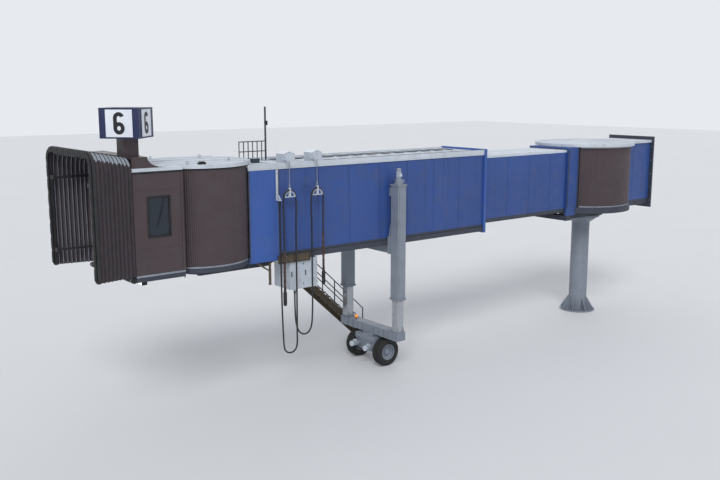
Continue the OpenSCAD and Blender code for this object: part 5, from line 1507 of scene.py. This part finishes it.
lamp.object("beacon_base", "rubber_black", "lift_carriage")
beacon = Shape()
beacon.spun([(0.001, 0.03), (0.05, 0.03), (0.05, 0.10), (0.035, 0.125), (0.001, 0.13)],
            (DRIVE_X, -0.9, CARRIAGE[1].z), UP, 24)
beacon.object("beacon", "amber", "lift_carriage", "glass")


# Utility bracket: bolts through the channel and the post's foot
bracket_bolts = Shape()
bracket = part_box("utility_bracket")
channel_y, channel_z = WALL_Y + 0.05, OUTER[0].z - 0.10
for k in range(6):
    for z in (channel_z + 0.05, channel_z + 0.21):
        bracket_bolts.bolt((bracket[0].x + 0.09 + 0.20 * k, channel_y, z), (0, 1, 0), 0.010, 0.009)
for z in (bracket[0].z + 0.10, bracket[0].z + 0.55):
    bracket_bolts.bolt((END_PANEL[0].x + 0.33, WALL_Y - 0.03, z), (0, 1, 0), 0.010, 0.009)
bracket_bolts.object("utility_bracket_bolts", "galvanised", "outer_tunnel")


# Rotunda: roof seams, trims, slewing bolts, corridor lining and anchors
rot = Shape()
R = 2.02
for k in range(24):
    a = 2 * math.pi * k / 24
    c, s = math.cos(a), math.sin(a)
    rot.tube([(R * c, R * s, ROTUNDA_ROOF[0].z + 0.11 + 0.004),
              (0.31 * c, 0.31 * s, ROTUNDA_ROOF[1].z - 0.001)], 0.008, 5)
rot.object("rotunda_roof_seams", "roof_grey", "rotunda")
trim = Shape()
for mirror in (1, -1):
    arc = [(1.998 * math.cos(math.radians(a)), mirror * 1.998 * math.sin(math.radians(a)))
           for a in range(32, 149, 3)]
    ribbon(trim, arc[::-mirror], -0.012, ROTUNDA[0].z + 0.03, ROTUNDA[0].z + 0.07)
    ribbon(trim, arc[::-mirror], -0.012, ROTUNDA[1].z - 0.05, ROTUNDA[1].z - 0.01)
    foot = [(1.950 * math.cos(math.radians(a)), mirror * 1.950 * math.sin(math.radians(a)))
            for a in range(34, 147, 3)]
    rails = Shape()
    ribbon(rails, foot[::-mirror], 0.010, ROTUNDA[1].z + 0.001, ROTUNDA[1].z + 0.05)
    ribbon(rails, foot[::-mirror], 0.010, ROTUNDA_ROOF[0].z - 0.05, ROTUNDA_ROOF[0].z - 0.001)
    rails.tube([(2.062 * math.cos(math.radians(a)), mirror * 2.062 * math.sin(math.radians(a)),
                 ROTUNDA_ROOF[0].z - 0.006)
                for a in range(34, 147, 3)], 0.012, 8)
    turn_with_swing(rails.object("rotunda_rails_" + ("left" if mirror > 0 else "right"), "galvanised"))
trim.object("rotunda_trims", "galvanised", "rotunda", bevel=0.001)
ring = Shape()
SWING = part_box("swing_ring")
for k in range(36):
    a = 2 * math.pi * k / 36
    ring.bolt((0.86 * math.cos(a), 0.86 * math.sin(a), SWING[0].z), DOWN, 0.015, 0.014)
ring.object("swing_ring_bolts", "galvanised", "swing_frame")
hinge = Shape()
HINGE = joint_place("tunnel_tilt")
for mirror in (1, -1):
    for y in (0.596, 0.764):
        hinge.disc((HINGE[0], mirror * y, HINGE[2]), (0, 1, 0), 0.055, -0.008, 0.008, 24)
hinge.object("hinge_collars", "galvanised", "inner_tunnel")
anchors = Shape()
for k in range(12):
    a = math.radians(30 * k)
    x, y = 0.625 * math.cos(a), 0.625 * math.sin(a)
    anchors.disc((x, y, 0.05), UP, 0.038, 0, 0.008, 20, 0.0005)
    anchors.disc((x, y, 0.05), UP, 0.030, 0.008, 0.036, 6, 0.0005)
    anchors.disc((x, y, 0.05), UP, 0.026, 0.036, 0.056, 6, 0.0005)
    anchors.spun([(0.0005, 0.03), (0.018, 0.03), (0.018, 0.10), (0.015, 0.104), (0.0005, 0.104)],
                 (x, y, 0.05), UP, 14)
anchors.object("anchor_nuts", "galvanised", "rotunda")
weld = Shape()
for z in (0.9, 2.2):
    weld.spun([(0.378, -0.01), (0.386, 0.0), (0.378, 0.01)], (0, 0, z), UP, 64, ring=True)
weld.object("column_welds", "steel_grey", "rotunda")
pipe = Shape()
for dy in (-0.05, 0.05):
    a = math.radians(200)
    pipe.tube([(0.405 * math.cos(a) - dy * math.sin(a), 0.405 * math.sin(a) + dy * math.cos(a), 0.06),
               (0.405 * math.cos(a) - dy * math.sin(a), 0.405 * math.sin(a) + dy * math.cos(a), 3.85)],
              0.02, 10)
for z in (0.7, 1.8, 2.9, 3.7):
    a = math.radians(200)
    c, s = math.cos(a), math.sin(a)
    pipe.prism([(0.375 * c - 0.09 * s, 0.375 * s + 0.09 * c, z),
                (0.43 * c - 0.09 * s, 0.43 * s + 0.09 * c, z),
                (0.43 * c + 0.09 * s, 0.43 * s - 0.09 * c, z),
                (0.375 * c + 0.09 * s, 0.375 * s - 0.09 * c, z)], (0, 0, 0.03))
pipe.object("column_conduits", "galvanised", "rotunda")
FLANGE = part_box("terminal_flange")
bolts("terminal_bolts", "rotunda",
      [((FLANGE[1].x, mirror * 1.095, 4.7 + 0.6 * k), (1, 0, 0)) for mirror in (1, -1) for k in range(5)],
      0.02, 0.016)
portal_trim = Shape()
for mirror in (1, -1):
    yy = mirror * PORTAL[1].y
    for x in (PORTAL[0].x + 0.05, PORTAL[1].x - 0.05):
        portal_trim.block((x - 0.03, yy, ROTUNDA[1].z + 0.05),
                          (x + 0.03, yy + mirror * 0.010, PORTAL[1].z - 0.06))
portal_trim.object("portal_trims", "frame_dark", "swing_frame", bevel=0.002)
portal_skirt = Shape()
for mirror in (1, -1):
    inner, outer = sorted((mirror * (PORTAL[1].y - 0.045), mirror * (PORTAL[1].y - 0.008)))
    portal_skirt.block((1.775, inner, PORTAL[0].z + 0.001), (2.035, outer, ROTUNDA[1].z + 0.012))
portal_skirt.object("portal_skirts", "blue_paint", "swing_frame", bevel=0.002)

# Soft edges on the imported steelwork
for node, width in (("rotunda_floor", 0.008), ("corridor_walls", 0.004), ("terminal_flange", 0.006),
                    ("swing_portal", 0.005), ("outer_roof", 0.006), ("inner_roof", 0.006),
                    ("rear_frame", 0.006), ("cab_carrier", 0.006), ("service_door", 0.003),
                    ("landing", 0.004), ("power_cabinet", 0.01), ("drive_beam", 0.006),
                    ("upper_legs", 0.006), ("lower_legs", 0.012), ("carriage_beam", 0.010),
                    ("bogie", 0.004), ("utility_bracket", 0.002), ("cab_roof", 0.008),
                    ("cab_floor", 0.008), ("cab_hood", 0.006), ("sign", 0.008), ("stairs", 0.003),
                    ("canopy_front", 0.008), ("end_panels", 0.002), ("outer_floor", 0.003),
                    ("cable_hoists", 0.003)):
    soften(frame["nodes"][node], width)


# Floor, backdrop and light
stage_shape = Shape()
half = 160.0
stage_shape.add([(-half, -half, -0.002), (half, -half, -0.002), (half, half, -0.002),
                 (-half, half, -0.002)], [(0, 1, 2, 3)])
floor_material = Nodes("stage_floor")
tone = floor_material.ramp(floor_material.noise(0.12, detail=4.0), 0.3, 0.7)
floor_material.surface(Base_Color=floor_material.mix(tone, (0.712, 0.722, 0.742), (0.728, 0.738, 0.758)),
                       Roughness=floor_material.patchy(0.6, 0.65, 0.8))
stage = stage_shape.object("stage_floor", floor_material.material, smooth=False)

world = bpy.data.worlds.new("studio")
scene.world = world
world.use_nodes = True
background = world.node_tree.nodes["Background"]
path = world.node_tree.nodes.new("ShaderNodeLightPath")
either = world.node_tree.nodes.new("ShaderNodeMath")
either.operation = "MAXIMUM"
level = world.node_tree.nodes.new("ShaderNodeMapRange")
level.inputs["To Min"].default_value = 0.62
level.inputs["To Max"].default_value = 0.92
world.node_tree.links.new(path.outputs["Is Camera Ray"], either.inputs[0])
world.node_tree.links.new(path.outputs["Is Glossy Ray"], either.inputs[1])
world.node_tree.links.new(either.outputs["Value"], level.inputs["Value"])
world.node_tree.links.new(level.outputs["Result"], background.inputs["Strength"])
background.inputs["Color"].default_value = (0.87, 0.90, 0.94, 1.0)


def sun(name, direction, strength, angle, colour=(1, 1, 1)):
    data = bpy.data.lights.new(name, "SUN")
    data.energy = strength
    data.angle = math.radians(angle)
    data.color = colour
    obj = bpy.data.objects.new(name, data)
    obj.rotation_mode = "QUATERNION"
    obj.rotation_quaternion = Vector(direction).to_track_quat("-Z", "Y")
    scene.collection.objects.link(obj)


sun("key", (-0.55, -0.65, -0.75), 1.5, 25)
sun("fill", (0.6, 0.5, -0.5), 0.35, 60)

scene.view_settings.view_transform = "Standard"
